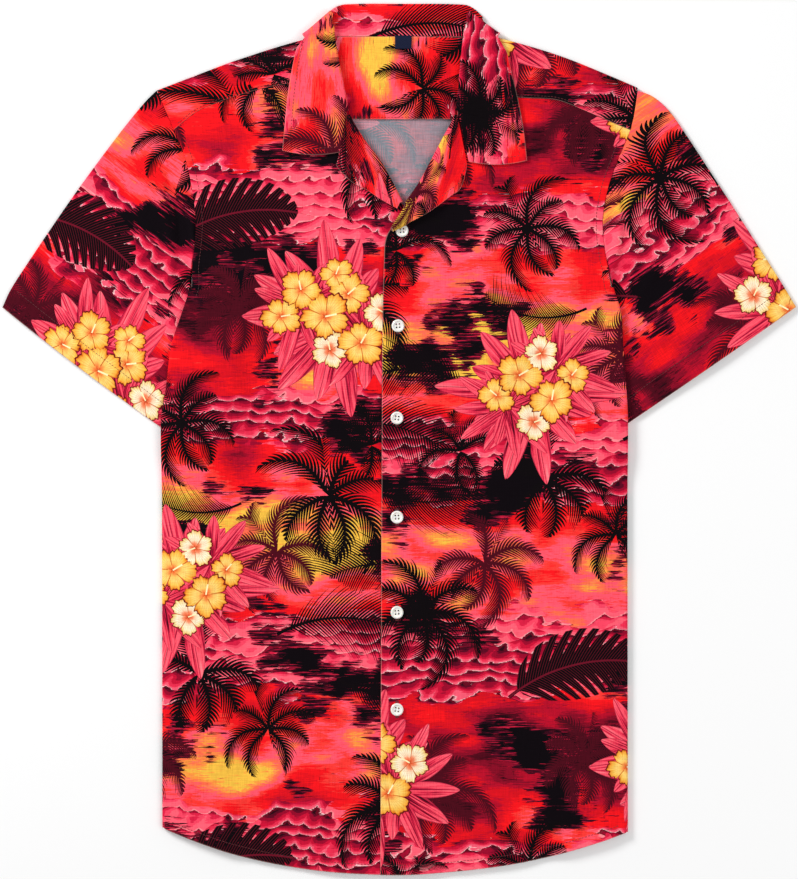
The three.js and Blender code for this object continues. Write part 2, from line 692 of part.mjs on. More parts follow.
// A sleeve as a flat tube: upper layer, underarm fold, lower layer, top fold.
function sleeve(side) {
  const sign = SIGN[side];
  const { outer, inner, underarm } = SLEEVE[side];
  const gap = sign * 0.36;
  const heights = [...YOKE_ROWS, ...ARMHOLE_ROWS];
  const arm = [{ x: sideX(side, ARM_POINT_Y - 1) + gap, y: ARM_POINT_Y - 0.6, z: HALF + 2 * LAYER }];
  for (const y of heights) {
    arm.push({ x: sideX(side, y) + gap, y, z: HALF + LAYER + LAYER * rise(y, 262, 286) });
  }
  arm.push({ x: mix(arm[arm.length - 1].x, underarm.x, 0.5), y: 131, z: HALF + LAYER });
  arm.push({ x: underarm.x, y: underarm.y, z: HALF + LAYER });
  const count = arm.length - 1;
  const length = Math.hypot(outer.x - arm[0].x, outer.y - arm[0].y);
  const down = { x: (outer.x - arm[0].x) / length, y: (outer.y - arm[0].y) / length };
  const headOut = { x: -sign * down.y, y: sign * down.x };
  const share = [0, 0.07, 0.15, 0.23, 0.32, 0.41, 0.5, 0.58, 0.66, 0.73, 0.8, 0.86, 0.93, 1];
  const grid = SLEEVE_STATIONS.map((v) => {
    const head = along(SLEEVE_HEAD, "v", side, v);
    const section = arm.map((start, k) => {
      const end = { x: mix(outer.x, inner.x, share[k]), y: mix(outer.y, inner.y, share[k]) };
      const out = head * (1 - share[k]) ** 2;
      const edge = mix(SLEEVE_EDGE, HALF + LAYER, rise(share[k], 0, 0.4));
      const full = SLEEVE_FULLNESS * Math.sin(Math.PI * Math.min(share[k] / 0.8, 1)) ** 2;
      const bow = CUFF_BOW[side] * 4 * share[k] * (1 - share[k]) * v ** 2;
      return point(
        mix(start.x, end.x, v) + headOut.x * out + down.x * bow,
        mix(start.y, end.y, v) + headOut.y * out + down.y * bow,
        mix(start.z, edge + full, rise(v, 0, 0.27)),
      );
    });
    const across = section[count].clone().sub(section[0]).setZ(0).normalize();
    const topInset = HALF + (section[0].z - HALF) / 2;
    const topCentre = section[0].clone().addScaledVector(across, topInset);
    const lowCentre = section[count].clone().addScaledVector(across, -HALF - LAYER / 2);
    const upper = [topCentre, ...section.slice(1, -1), lowCentre];
    const lower = upper.map((p) => point(p.x, p.y, HALF)).reverse();
    const underTurn = turn(lowCentre, across, HALF, lowCentre.z, 4).reverse();
    const topTurn = turn(topCentre, { x: -across.x, y: -across.y }, HALF, topCentre.z, 4);
    return [...upper, ...underTurn, ...lower, ...topTurn];
  });
  return wall(grid, CLOTH, { ring: true });
}

// A four-hole button with a raised rim and a dished middle.
function button() {
  const radius = BUTTON_WIDTH / 2;
  const profile = [
    [0, 0], [radius - 0.7, 0], [radius, 0.8], [radius, 1.7], [radius - 0.6, BUTTON_HEIGHT],
    [radius - 1.4, BUTTON_HEIGHT - 0.2], [radius - 2.1, 1.5], [0, 1.4],
  ].map(([x, y]) => new THREE.Vector2(x, y));
  const disc = new THREE.LatheGeometry(profile, 16).rotateX(Math.PI / 2);
  let solid = toSolid(disc);
  for (const [x, y] of [[1, 1], [-1, 1], [-1, -1], [1, -1]]) {
    const hole = new THREE.CylinderGeometry(0.65, 0.65, 6, 6).rotateX(Math.PI / 2);
    solid = solid.subtract(toSolid(hole.translate(x * 1.35, y * 1.35, 0)));
  }
  return fromSolid(solid);
}

function label() {
  const { x, y, width, height } = LABEL;
  const clearOfSeam = 0.5;
  const z = backZ(x, y) + LAYER + CLOTH + clearOfSeam;
  const grid = steps(3).map((v) => steps(3).map((u) => (
    point(x + width * (u - 0.5), y + height * (v - 0.5), z)
  )));
  return wall(grid, CLOTH);
}

const PRINT = 0xd8232f;
addPiece("back", backPanel(), 0xb3303f, 0.85);
addPiece("yoke_outer", yokeOuter(), 0x9c1c2a, 0.85);
addPiece("yoke_inner", yokeInner(), 0xe0503a, 0.85);
addPiece("front_right", frontPanel("right"), PRINT, 0.85);
addPiece("front_left", frontPanel("left"), PRINT, 0.85);
addPiece("facing_right", facing("right"), 0xe8452f, 0.85);
addPiece("facing_left", facing("left"), 0xe8452f, 0.85);
addPiece("collar", collar(), 0xc81e30, 0.85);
addPiece("sleeve_right", sleeve("right"), 0xd23a34, 0.85);
addPiece("sleeve_left", sleeve("left"), 0xd23a34, 0.85);
addPiece("neck_label", label(), 0x1c2440, 0.7);
const buttonShape = button();
BUTTONS.forEach(({ x, y }, k) => {
  const mesh = addPiece(`button_${k + 1}`, buttonShape.clone(), 0xf4f2ee, 0.25);
  mesh.position.set(x, y, frontZ("left", x, y) + HALF + SEAM_GAP + 0.12);
});

// The origin is under the middle of the whole shirt's box.
const box = new THREE.Box3().setFromObject(shirt);
const middle = box.getCenter(new THREE.Vector3());
shirt.position.set(-middle.x, -middle.y, -box.min.z);
shirt.updateMatrixWorld(true);

export default shirt;
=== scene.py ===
"""Looks of a short-sleeved hawaiian shirt laid flat: printed poplin, sewing, buttons and a bare neck label.

Shapes are worked out in millimetres on the shirt's cutting plan, +Y towards the collar and left at +X as
worn, and put into the frame in metres. Every cloth piece is a grid of points on the middle of its wall.
"""

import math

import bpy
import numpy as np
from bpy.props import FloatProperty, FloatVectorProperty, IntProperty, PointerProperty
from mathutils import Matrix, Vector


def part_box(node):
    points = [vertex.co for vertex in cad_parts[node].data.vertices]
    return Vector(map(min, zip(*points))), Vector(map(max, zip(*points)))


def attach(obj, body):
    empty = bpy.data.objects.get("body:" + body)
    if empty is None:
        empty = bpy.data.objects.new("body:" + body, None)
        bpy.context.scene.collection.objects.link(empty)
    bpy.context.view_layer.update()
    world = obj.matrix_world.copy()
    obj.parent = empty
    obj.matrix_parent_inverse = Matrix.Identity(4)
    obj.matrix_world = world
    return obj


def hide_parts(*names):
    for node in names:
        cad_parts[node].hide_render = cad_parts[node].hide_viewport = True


bl_info = {
    "name": "Hawaiian shirt",
    "version": (1, 0, 0),
    "blender": (4, 5, 0),
    "location": "View3D > Sidebar > Shirt",
    "description": "Dresses a flat-laid hawaiian shirt in printed poplin, sewing and buttons",
    "category": "Object",
}

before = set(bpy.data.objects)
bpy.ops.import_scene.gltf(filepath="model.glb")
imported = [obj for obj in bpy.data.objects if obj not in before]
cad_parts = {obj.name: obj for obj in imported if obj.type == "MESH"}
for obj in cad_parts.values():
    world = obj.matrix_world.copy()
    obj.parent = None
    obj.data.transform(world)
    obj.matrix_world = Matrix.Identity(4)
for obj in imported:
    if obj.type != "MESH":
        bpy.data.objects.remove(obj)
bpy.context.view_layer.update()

MM = 0.001
# Radians in one wave
WAVE = 6.28
# Middles of the buttons on the cutting plan, and the way from the plan to the frame
BUTTONS = ((1.8, 188.1), (-1.8, 102.6), (-2.7, 19.8), (-2.7, -69.3), (-2.7, -154.8), (-2.7, -242.1))
button_low, button_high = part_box("button_2")
SHIFT = (np.array(button_low[:2]) + np.array(button_high[:2])) / 2 / MM - np.array(BUTTONS[1])

# Sizes of the cloth and of its layers, in millimetres
CLOTH = 1.0
COLLAR_CLOTH = 1.2
SEAM_GAP = 0.3
LAYER = CLOTH + SEAM_GAP
COLLAR_LAYER = COLLAR_CLOTH + SEAM_GAP
HALF = CLOTH / 2
COLLAR_HALF = COLLAR_CLOTH / 2
TURNED_BACK = HALF + 2 * SEAM_GAP + COLLAR_HALF
ROLL_RISE = 1.4
# Levels of seams and folds on the cutting plan, and the point of the neck
BACK_YOKE_SEAM = 291
NECK_SEAM = 363
FRONT_TOP = 279
FOLD_TOP = 137
SIDE_BOTTOM = -349
GORGE_TOP = 295
V_X, V_Y = 3.6, 212.4
SIGN = {"right": -1, "left": 1}

# Outlines of the cut pieces as they lie, each a table with named columns
SIDE_EDGE = {
    "y": (315, 282, 255, 228, 203, 184, 160, 137, 114, 85, 40, 19, -54, -349),
    "right": (-219, -204.6, -193.6, -187.3, -184, -184, -186.5, -189, -196.3, -205.6, -211.5, -215,
              -214.2, -213.8),
    "left": (214, 208, 197, 187.5, 182.7, 182.7, 186, 192, 199, 200.7, 204, 205, 204.7, 205),
}
ROLL_EDGE = {
    "y": (390, 361, 328, 308, 292, 269, 252, 232, 212.4),
    "right": (-60, -58, -52, -48, -44.6, -31, -18, -6.5, 3.6),
    "left": (60, 56.4, 53.1, 51.3, 48.6, 36.9, 27.9, 17.1, 3.6),
}
NECK_EDGE = {"y": (330, 311, 295), "right": (-63, -55, -48), "left": (66, 60, 51.6)}
CLOSURE_EDGE = {
    "y": (212.4, 203, 195, 188, 179, 165, 99, -395),
    "right": (3.6, 9, 11.6, 12.3, 12.5, 12.5, 12.5, 12.5),
    "left": (4.4, 1.2, -3.4, -9.6, -13.2, -14.2, -15.8, -17.7),
}
HEM = {
    "x": (-214, -207, -180, -144, -108, -72, -36, 0, 36, 72, 108, 144, 180, 205),
    "y": (-348.2, -351.5, -362.3, -374, -382.1, -387.5, -390.2, -391.1, -389.3, -385.7, -380.3, -372.2,
          -361.4, -352.4),
}
SHOULDER = {
    "across": (79, 90, 117, 135, 153, 171, 207, 220),
    "right": (361.6, 359.2, 351.4, 345.6, 339.6, 332.8, 319, 314),
    "left": (364, 361.3, 354, 348.6, 342.3, 335.1, 319.9, 313.9),
}
YOKE_SEAM = {
    "across": (55, 105, 135, 150, 173, 190, 208),
    "right": (324.6, 320, 312.6, 309.6, 299, 291.6, 279),
    "left": (311.6, 308, 306, 304, 292.6, 286, 279),
}
COLLAR_TOP = {"x": (-66, -58, -48, 0, 58, 66, 74), "y": (383, 389.4, 392, 392.4, 391.6, 388.4, 381)}
LEAF_EDGE = {
    "t": (0, 0.25, 0.5, 0.75, 1),
    "rightX": (-90.5, -96.5, -100.8, -103.6, -105.8), "rightY": (362, 336, 310.5, 283, 260.1),
    "leftX": (92.6, 101, 106.4, 111, 114.3), "leftY": (363, 327, 304, 279, 251.1),
}
LEAF_CORNER = {"right": (-53.1, 258.7), "left": (61.4, 250.2)}
LAPEL_EDGE = {
    "t": (0, 0.1, 0.22, 0.36, 0.55, 0.75, 1),
    "rightX": (-54.2, -57.2, -51, -43, -29, -18, -2.6), "rightY": (255, 247, 239, 231.6, 224, 216.6, 207.8),
    "leftX": (60.2, 59, 54.4, 46, 36, 24, 8.6), "leftY": (248.4, 240, 226, 219.6, 211.8, 203.4, 195.2),
}
SLEEVE = {
    "right": {"outer": (-357.7, 119.3), "inner": (-199.4, 0.6), "underarm": (-171, 124)},
    "left": {"outer": (356.4, 119.7), "inner": (189.8, 4.8), "underarm": (174, 124)},
}
# How far a sleeve head swells out beyond a straight top fold, v along from armhole to cuff
SLEEVE_HEAD = {
    "v": (0, 0.05, 0.13, 0.25, 0.4, 0.53, 0.66, 0.8, 0.93, 1),
    "right": (0, 2.2, 3.9, 5.2, 6, 6.1, 5.6, 4.7, 3.2, 0),
    "left": (0, 7.6, 11.8, 11.4, 9.5, 7.8, 5.9, 3.8, 1.5, 0),
}
CUFF_BOW = {"right": 2, "left": 0.7}
# Past the point of the neck the left lapel runs on as a tongue, over the top of the first button
TONGUE = {
    "e": (0, 0.5, 1), "innerX": (7.8, 0.6, -7.8), "innerY": (213.9, 202.6, 189.4),
    "outerX": (8.6, 2.6, -6.6), "outerY": (195.2, 191, 187),
}
# Level of the armhole seam over a sleeve's width, from its top fold to the underarm
ARMHOLE = {
    "share": (0, 0.07, 0.15, 0.23, 0.32, 0.41, 0.5, 0.58, 0.66, 0.73, 0.8, 0.86, 0.93, 1),
    "y": (314.4, 303, 291, 279, 261, 243, 225, 207, 189, 171, 154, 137, 131, 124),
}
SEAM_SHARES = np.array((0, 0.14, 0.28, 0.45, 0.62, 0.78, 0.9, 1))
LABEL = {"x": 3, "y": 357.5, "width": 15, "height": 12}


def rise(value, start, end):
    """Smooth rise from 0 at start to 1 at end: three t squared less two t cubed."""
    t = np.clip((value - start) / (end - start), 0, 1)
    return t * t * (3 - 2 * t)


def mix(a, b, t):
    """The value that lies a share t of the way from a to b."""
    return a + (b - a) * t


def along(table, column, value, key="y"):
    """A column of a table at a value of its key: a cubic Hermite curve, with the slope at each row taken
    between the rows beside it."""
    keys = np.array(table[key], float)
    order = np.argsort(keys)
    keys = keys[order]
    rows = np.array(table[column], float)[order]
    before = np.maximum(np.arange(keys.size) - 1, 0)
    after = np.minimum(np.arange(keys.size) + 1, keys.size - 1)
    slope = (rows[after] - rows[before]) / (keys[after] - keys[before])
    upper = np.clip(np.searchsorted(keys, value, side="right"), 1, keys.size - 1)
    lower = upper - 1
    span = keys[upper] - keys[lower]
    t = np.clip((value - keys[lower]) / span, 0, 1)
    s = 1 - t
    return ((1 + 2 * t) * s * s * rows[lower] + t * s * s * span * slope[lower]
            + t * t * (3 - 2 * t) * rows[upper] - t * t * s * span * slope[upper])


def side_x(side, y):
    """Side of the body at a level."""
    return along(SIDE_EDGE, side, y)


def roll_x(side, y):
    """Roll edge of collar and lapel at a level."""
    return along(ROLL_EDGE, side, y)


def hem_y(x):
    """Level of the hem at a place across."""
    return along(HEM, "y", x, key="x")


def inward(x, y):
    """Distance in from the nearer side of the body."""
    return np.minimum(x - side_x("right", y), side_x("left", y) - x)


def near_side(x, y):
    """Lift over a side that is turned under, up to two layers."""
    return 2 * LAYER * rise(inward(x, y), 80, 52) * rise(y, 172, 138)


def over_sleeve(x, y):
    """Lift over the part of a sleeve that lies under the body."""
    return near_side(x, y) * rise(y, -40, -6)


def back_z(x, y):
    """Middle of the back: on the surface, lifted over the turned-under sides, the sleeves and the fall."""
    over_fall = COLLAR_LAYER * rise(np.abs(x), 140, 102) * rise(y, 291, 323)
    return HALF + near_side(x, y) + over_sleeve(x, y) + over_fall


def front_z(side, x, y):
    """Middle of a front: the back's height and one layer, and more over facing, yoke and the other front."""
    from_roll = SIGN[side] * (x - roll_x(side, np.maximum(y, V_Y)))
    over_facing = 2 * rise(from_roll, 42, 14) * rise(y, 178, 207) * rise(y, 332, 312)
    over_yoke = LAYER * rise(y, 262, 286)
    overlap = LAYER * rise(x, 44, 16) * rise(y, 234, 213) if side == "left" else 0
    full = rise(inward(x, y), 70, 130) * rise(y, -345, -280) * rise(y, 205, 150)
    ease = rise(inward(x, y), 3, 24)
    return back_z(x, y) + LAYER + over_facing + over_yoke + overlap + full + ease


def leaf_z(side, x, y):
    """Middle of what is turned back on a front, fuller near its roll."""
    from_roll = SIGN[side] * (x - roll_x(side, y))
    return front_z(side, x, y) + TURNED_BACK + ROLL_RISE * rise(from_roll, 24, 3)


# Creases of the body, seen from above: where each runs, how wide and how high (a trough is below 0)
BODY_CREASES = (
    (-150, 150, -96, 92, 9, 1.3), (-178, 60, -120, 18, 7, -1.01), (-128, -20, -66, -72, 11, 1.16),
    (-192, -118, -128, -150, 9, 1.16), (-90, -170, -46, -262, 13, -1.16), (-186, -262, -120, -236, 8, 0.87),
    (-70, 160, -28, 118, 8, 1.01), (-62, 20, -30, -96, 10, -0.87), (-150, -330, -96, -300, 10, 1.01),
    (150, 138, 104, 70, 9, 1.3), (176, 40, 122, 4, 8, -1.01), (132, -46, 78, -84, 10, 1.16),
    (188, -92, 134, -136, 9, 1.16), (96, -196, 52, -262, 12, -1.16), (184, -246, 122, -218, 8, 0.87),
    (74, 168, 30, 128, 8, 0.87), (60, 34, 26, -60, 10, -0.87), (152, -322, 104, -296, 9, 1.01),
    (-176, 214, -122, 186, 8, -1.16), (172, 212, 126, 190, 8, -1.16), (-30, -330, -6, -250, 9, 0.72),
)
SLEEVE_CREASES = {
    "right": (
        (-196, 226, -188, 142, 4, 2.1), (-206, 228, -197, 146, 4.5, -1.9), (-216, 216, -207, 156, 5, 1.5),
        (-262, 196, -228, 152, 9, 1.3), (-300, 150, -262, 96, 11, -0.9), (-240, 110, -214, 60, 9, 1.2),
        (-286, 110, -250, 70, 8, 0.7), (-232, 262, -216, 226, 8, 1.0), (-330, 130, -296, 84, 8, 0.6),
    ),
    "left": (
        (193, 224, 188, 148, 4, 1.9), (202, 220, 197, 152, 4.5, -1.6), (212, 208, 206, 150, 5, 1.4),
        (258, 198, 226, 148, 9, 1.3), (304, 146, 262, 100, 11, -0.9), (236, 100, 214, 56, 9, 1.2),
        (284, 116, 252, 66, 8, 0.7), (234, 258, 216, 222, 8, 1.0), (332, 128, 300, 84, 8, 0.6),
    ),
}
# Slow swells that keep laid cloth from being quite flat: wave lengths across and along, turn and height
SWELLS = ((170, 120, 0.4, 0.5), (92, 140, -0.7, 0.35), (61, 84, 1.1, 0.22), (38, 47, 0.2, 0.1))


def creases(x, y, table):
    """Height of the creases: each is a hill of width w on a segment, its height times exp of minus the
    squared distance over w, and the swells are sums of two sines."""
    z = np.zeros(np.broadcast(x, y).shape)
    for x0, y0, x1, y1, width, height in table:
        length = math.hypot(x1 - x0, y1 - y0)
        ux, uy = (x1 - x0) / length, (y1 - y0) / length
        t = (x - x0) * ux + (y - y0) * uy
        past = np.maximum(np.maximum(-t, t - length), 0)
        bow = 0.08 * length * np.sin(math.pi * np.clip(t / length, 0, 1))
        off = (y - y0) * ux - (x - x0) * uy - bow
        z = z + height * np.exp(-(off / width) ** 2 - (past / (2.4 * width)) ** 2)
    for across, up, turn, height in SWELLS:
        z = z + height * np.sin(WAVE * (x / across + turn)) * np.sin(WAVE * (y / up - turn) + x / across)
    return z


def pucker(distance, run, height=0.16, reach=7, pitch=9):
    """Small gathers along a line of stitches: two sines of unlike pitch along it, fading to its sides."""
    wave = np.sin(WAVE * run / pitch) + 0.7 * np.sin(WAVE * run / (pitch * 0.61) + 1.3)
    return height * wave * np.exp(-(distance / reach) ** 2)


def step_at(distance, height=0.35, reach=1.6):
    """Height of a turning sewn inside the cloth: high on its own side of the stitches, low past them."""
    return height * rise(distance, reach, -reach)


def spread(count, length, edge=0.9):
    """Shares from 0 to 1, even but for one narrow step at each end, where the wall's rim is rounded."""
    e = edge / length
    return np.concatenate([[0], np.linspace(e, 1 - e, count - 2), [1]])


def joined(axis, *strips):
    """Points of strips set side by side (axis 1) or end to end (axis 0), each given as x, y and z."""
    return np.concatenate([np.stack(np.broadcast_arrays(*strip), axis=-1) for strip in strips], axis=axis)


def half_turn(count):
    """Angles of the points inside a half-round turn, from its lower layer to its upper one."""
    return math.pi * (np.linspace(0, 1, count + 2)[1:-1] - 0.5)


def under_width(y):
    """Width of the strip turned under: 8 mm at the armhole and 47 mm below it."""
    return mix(8, 47, rise(y, 128, 70))


def edge_y(side, y):
    """Height of a front's own edge at the level of a row of its side."""
    top = along(YOKE_SEAM, side, 58, key="across")
    fold_y = FOLD_TOP + 22
    upper = mix(V_Y, top, (y - 189) / (FRONT_TOP - 189))
    middle = mix(fold_y, V_Y, (y - FOLD_TOP) / (189 - FOLD_TOP))
    lower = mix(hem_y(0), fold_y, (y - SIDE_BOTTOM) / (FOLD_TOP - SIDE_BOTTOM))
    return np.where(y >= 189, upper, np.where(y >= FOLD_TOP, middle, lower))


def edge_x(side, y):
    """A front's own edge: neck edge, then just inside the roll of the lapel, then the closing edge."""
    inset = SIGN[side] * (COLLAR_HALF + TURNED_BACK + ROLL_RISE / 2)
    on_roll = np.where(y > GORGE_TOP, along(NECK_EDGE, side, y), roll_x(side, y) + inset)
    return np.where(y > V_Y - 0.01, on_roll, along(CLOSURE_EDGE, side, y))


def yoke_seam(side, share):
    """Front yoke seam from the armhole, share 0, to the neck edge, share 1."""
    end_y = float(edge_y(side, np.array(FRONT_TOP)))
    end_x = float(edge_x(side, np.array(end_y)))
    xs = mix(side_x(side, FRONT_TOP), end_x, SEAM_SHARES)
    ys = along(YOKE_SEAM, side, np.abs(xs), key="across")
    ys[0], ys[-1] = FRONT_TOP, end_y
    corners = {"share": SEAM_SHARES, "x": xs, "y": ys}
    return along(corners, "x", share, key="share"), along(corners, "y", share, key="share")


def near_hem(y):
    """How far a row takes on the hem's curve: 0 high up, 1 at the hem."""
    return rise(np.interp(-y, (40, 85, 145, 205, 262, 312, 349), range(7)), 0, 6)


def near_top(y):
    """How far a row takes on the yoke seam's curve: 1 at the seam, 0 well below it."""
    return rise(np.interp(-y, (-279, -261, -243, -225, -207, -189), range(6)), 5, 0)


def turned_side(side, row, low, radius, shorter):
    """Strip turned under and the half-round turn at the fold, and where the flat of the panel starts."""
    sign = SIGN[side]
    inset = (HALF + 1.5 * LAYER) * np.clip((154 - row) / 17, 0, 1)
    centre = side_x(side, row) - sign * inset
    y = row + (hem_y(side_x(side, row)) - SIDE_BOTTOM + shorter) * near_hem(row)
    strip_x = centre - sign * np.linspace(1, 0, 8) * under_width(row)
    strip_z = low + over_sleeve(strip_x, row)
    angle = half_turn(7)
    round_x = centre + sign * radius * np.cos(angle)
    round_z = low + over_sleeve(centre, row) + radius * (1 + np.sin(angle))
    return centre, joined(1, (strip_x, y, strip_z), (round_x, y, round_z))


# Columns of the strip turned under and of its half-round turn
UNDER_COLUMNS = 15
ROW_STEP = 2.6
ROWS_BELOW_FOLD = 184


def body_rows(top):
    """Levels of the rows of a body panel, about a step apart, with one row at the fold's upper end."""
    upper = mix(top, FOLD_TOP, spread(int((top - FOLD_TOP) / ROW_STEP), top - FOLD_TOP))
    lower = mix(FOLD_TOP, SIDE_BOTTOM, spread(ROWS_BELOW_FOLD, FOLD_TOP - SIDE_BOTTOM))[1:]
    return np.concatenate([upper, lower])[:, None]


def front_surface(side, x, y):
    """Middle of a front with its creases, hem, sewn armhole and gathers along its seams."""
    in_from_side = inward(x, y)
    calm = rise(in_from_side, 2, 26) * rise(y, 300, 262)
    from_edge = SIGN[side] * (x - edge_x(side, y))
    calm = calm * rise(from_edge, 0, 18)
    under_leaf = rise(y, 205, 235) * rise(np.abs(x), 122, 96)
    calm = calm * (1 - under_leaf)
    z = front_z(side, x, y) + calm * creases(x, y, BODY_CREASES)
    above_hem = y - hem_y(x)
    z = z + step_at(above_hem - 9) * rise(above_hem, 40, 20) + pucker(above_hem - 9, x, 0.14)
    armhole = rise(y, 128, 142)
    z = z + armhole * (step_at(in_from_side - 7) + pucker(in_from_side - 6, y, 0.14, 6, 8))
    return z + step_at(from_edge - 2, 0.2) * rise(y, 214, 205)


def front_panel(side):
    """A front: columns run from the strip turned under, round the fold and across to its own edge."""
    y = body_rows(FRONT_TOP)
    sign = SIGN[side]
    centre, under = turned_side(side, y, HALF, 1.5 * LAYER, 0)
    u = spread(92, 215)
    own_y = edge_y(side, y)
    own_x = edge_x(side, own_y)
    x = mix(centre, own_x, u)
    level = mix(y, own_y, u)
    top = yoke_seam(side, u)[1] - SEAM_GAP
    top_line = mix(FRONT_TOP, edge_y(side, np.array(FRONT_TOP)), u)
    hem_line = mix(SIDE_BOTTOM, hem_y(0), u)
    level = level + (top - top_line) * near_top(y) + (hem_y(x) - hem_line) * near_hem(y)
    flat = np.stack([x, level, front_surface(side, x, level)], axis=-1)
    points = np.concatenate([under, flat], axis=1)
    rows, columns = points.shape[:2]
    keep = np.ones((rows - 1, columns - 1), bool)
    keep[y[:-1, 0] > FOLD_TOP + 0.01, :UNDER_COLUMNS] = False
    across = unroll(points, UNDER_COLUMNS, -sign)
    return {"points": points, "keep": keep, "plan": (across, points[..., 1]), "flip": side == "right",
            "edges": "right bottom"}


def back_panel():
    """The back: strips turned under on both sides, its printed side down."""
    y = body_rows(BACK_YOKE_SEAM - SEAM_GAP)
    low = HALF + LAYER
    right_x, right = turned_side("right", y, low, LAYER / 2, 3)
    left_x, left = turned_side("left", y, low, LAYER / 2, 3)
    u = spread(120, 424)
    x = mix(right_x, left_x, u)
    level = y + (hem_y(x) - SIDE_BOTTOM + 3) * near_hem(y)
    soft = 0.12 * creases(x, level, BODY_CREASES) * rise(inward(x, level), 60, 110)
    z = back_z(x, level) + np.maximum(soft, -0.05)
    flat = np.stack([x, level, z], axis=-1)
    points = np.concatenate([right, flat, left[:, ::-1]], axis=1)
    rows, columns = points.shape[:2]
    keep = np.ones((rows - 1, columns - 1), bool)
    above = y[:-1, 0] > FOLD_TOP + 0.01
    keep[above, :UNDER_COLUMNS] = False
    keep[above, columns - 1 - UNDER_COLUMNS:] = False
    across = unroll(points, UNDER_COLUMNS, 1)
    return {"points": points, "keep": keep, "plan": (across, points[..., 1]), "flip": False,
            "edges": "bottom"}


def unroll(points, anchor, way, axis=1):
    """Place across the cut piece: length of cloth from an anchor column, on from that column's own x, or
    from an anchor row and its y."""
    step = np.linalg.norm(np.diff(points, axis=axis), axis=-1)
    pad = ((0, 0), (1, 0)) if axis == 1 else ((1, 0), (0, 0))
    run = np.cumsum(np.pad(step, pad), axis=axis)
    if axis == 1:
        return points[:, anchor:anchor + 1, 0] + way * (run - run[:, anchor:anchor + 1])
    return points[anchor:anchor + 1, :, 1] + way * (run - run[anchor:anchor + 1])


def neck_x(side, y):
    """Neck edge of the yoke's front flap, up to the shoulder."""
    seam_x, seam_y = yoke_seam(side, np.array(1.0))
    top = along(SHOULDER, side, 79, key="across") - 1.7
    slanted = mix(seam_x, SIGN[side] * 79, (y - seam_y) / (top - seam_y))
    return np.where(y > seam_y, slanted, edge_x(side, y))


def yoke_back_x(x):
    """Place across at the back yoke seam, a little narrower than at the shoulder."""
    return x * (1 - 0.045 * rise(np.abs(x), 60, 216))


def yoke_flap(side):
    """Outer yoke on one shoulder: rows run up the front flap, over the shoulder fold and down behind."""
    sign = SIGN[side]
    t = spread(48, 145)[None]
    shoulder_turn = LAYER
    out_x, out_y = sign * 0.31, 0.95
    inset = HALF + shoulder_turn
    arm = abs(side_x(side, 314))
    x = sign * mix(arm, 79, t)
    fold = along(SHOULDER, side, np.abs(x), key="across")
    top_x, top_y = x - out_x * inset, fold - out_y * inset
    seam_x, seam_y = yoke_seam(side, t)
    pull = np.clip(1 - t / 0.14, 0, 1)
    f = spread(22, 50)[:, None]
    level = FRONT_TOP + f * (315 - FRONT_TOP)
    px = mix(seam_x, top_x, f)
    py = mix(seam_y, top_y, f)
    px = px + pull * (side_x(side, level) - px[:, :1]) * (1 - f ** 6)
    py = py + pull * (level - py[:, :1]) * (1 - f ** 6)
    low = back_z(top_x, top_y)
    swell = 0.5 * creases(px, py, ((sign * 190, 300, sign * 130, 322, 8, 0.6),))
    above_seam = py - yoke_seam(side, t)[1]
    sewn = step_at(above_seam - 3, 0.3) + pucker(above_seam - 2, px, 0.12)
    pz = mix(front_z(side, px, py) + swell + sewn, low + 2 * shoulder_turn, rise(f, 0.6, 1))
    angle = -half_turn(9)[:, None]
    turn_x = top_x + out_x * shoulder_turn * np.cos(angle)
    turn_y = top_y + out_y * shoulder_turn * np.cos(angle)
    turn_z = low + shoulder_turn * (1 + np.sin(angle))
    g = spread(14, 30)[:, None]
    down = 315 - g * (315 - BACK_YOKE_SEAM)
    bx = mix(top_x, yoke_back_x(x), g)
    by = mix(top_y, BACK_YOKE_SEAM, g)
    bx = bx + pull * (side_x(side, down) - bx[:, :1]) * np.minimum(1, 6 * g)
    points = joined(0, (px, py, pz), (turn_x, turn_y, turn_z), (bx, by, back_z(bx, by)))
    plan = (np.broadcast_to(x, points.shape[:2]), unroll(points, 0, 1, axis=0))
    return {"points": points, "plan": plan, "flip": side == "left", "edges": "top"}


def yoke_behind_neck():
    """The part of the outer yoke between the shoulders, below the neck seam."""
    x = mix(-79, 79, spread(50, 158))[None]
    g = spread(26, 72)[:, None]
    top_x = x - np.sign(x) * 0.31 * (HALF + LAYER) * rise(np.abs(x), 60, 79)
    bx = mix(top_x, yoke_back_x(x), g)
    by = mix(NECK_SEAM - SEAM_GAP - 1.9 * rise(np.abs(x), 60, 79), BACK_YOKE_SEAM, g)
    points = np.stack([bx, by, back_z(bx, by)], axis=-1)
    return {"points": points, "plan": (bx, 760 - by), "flip": False}


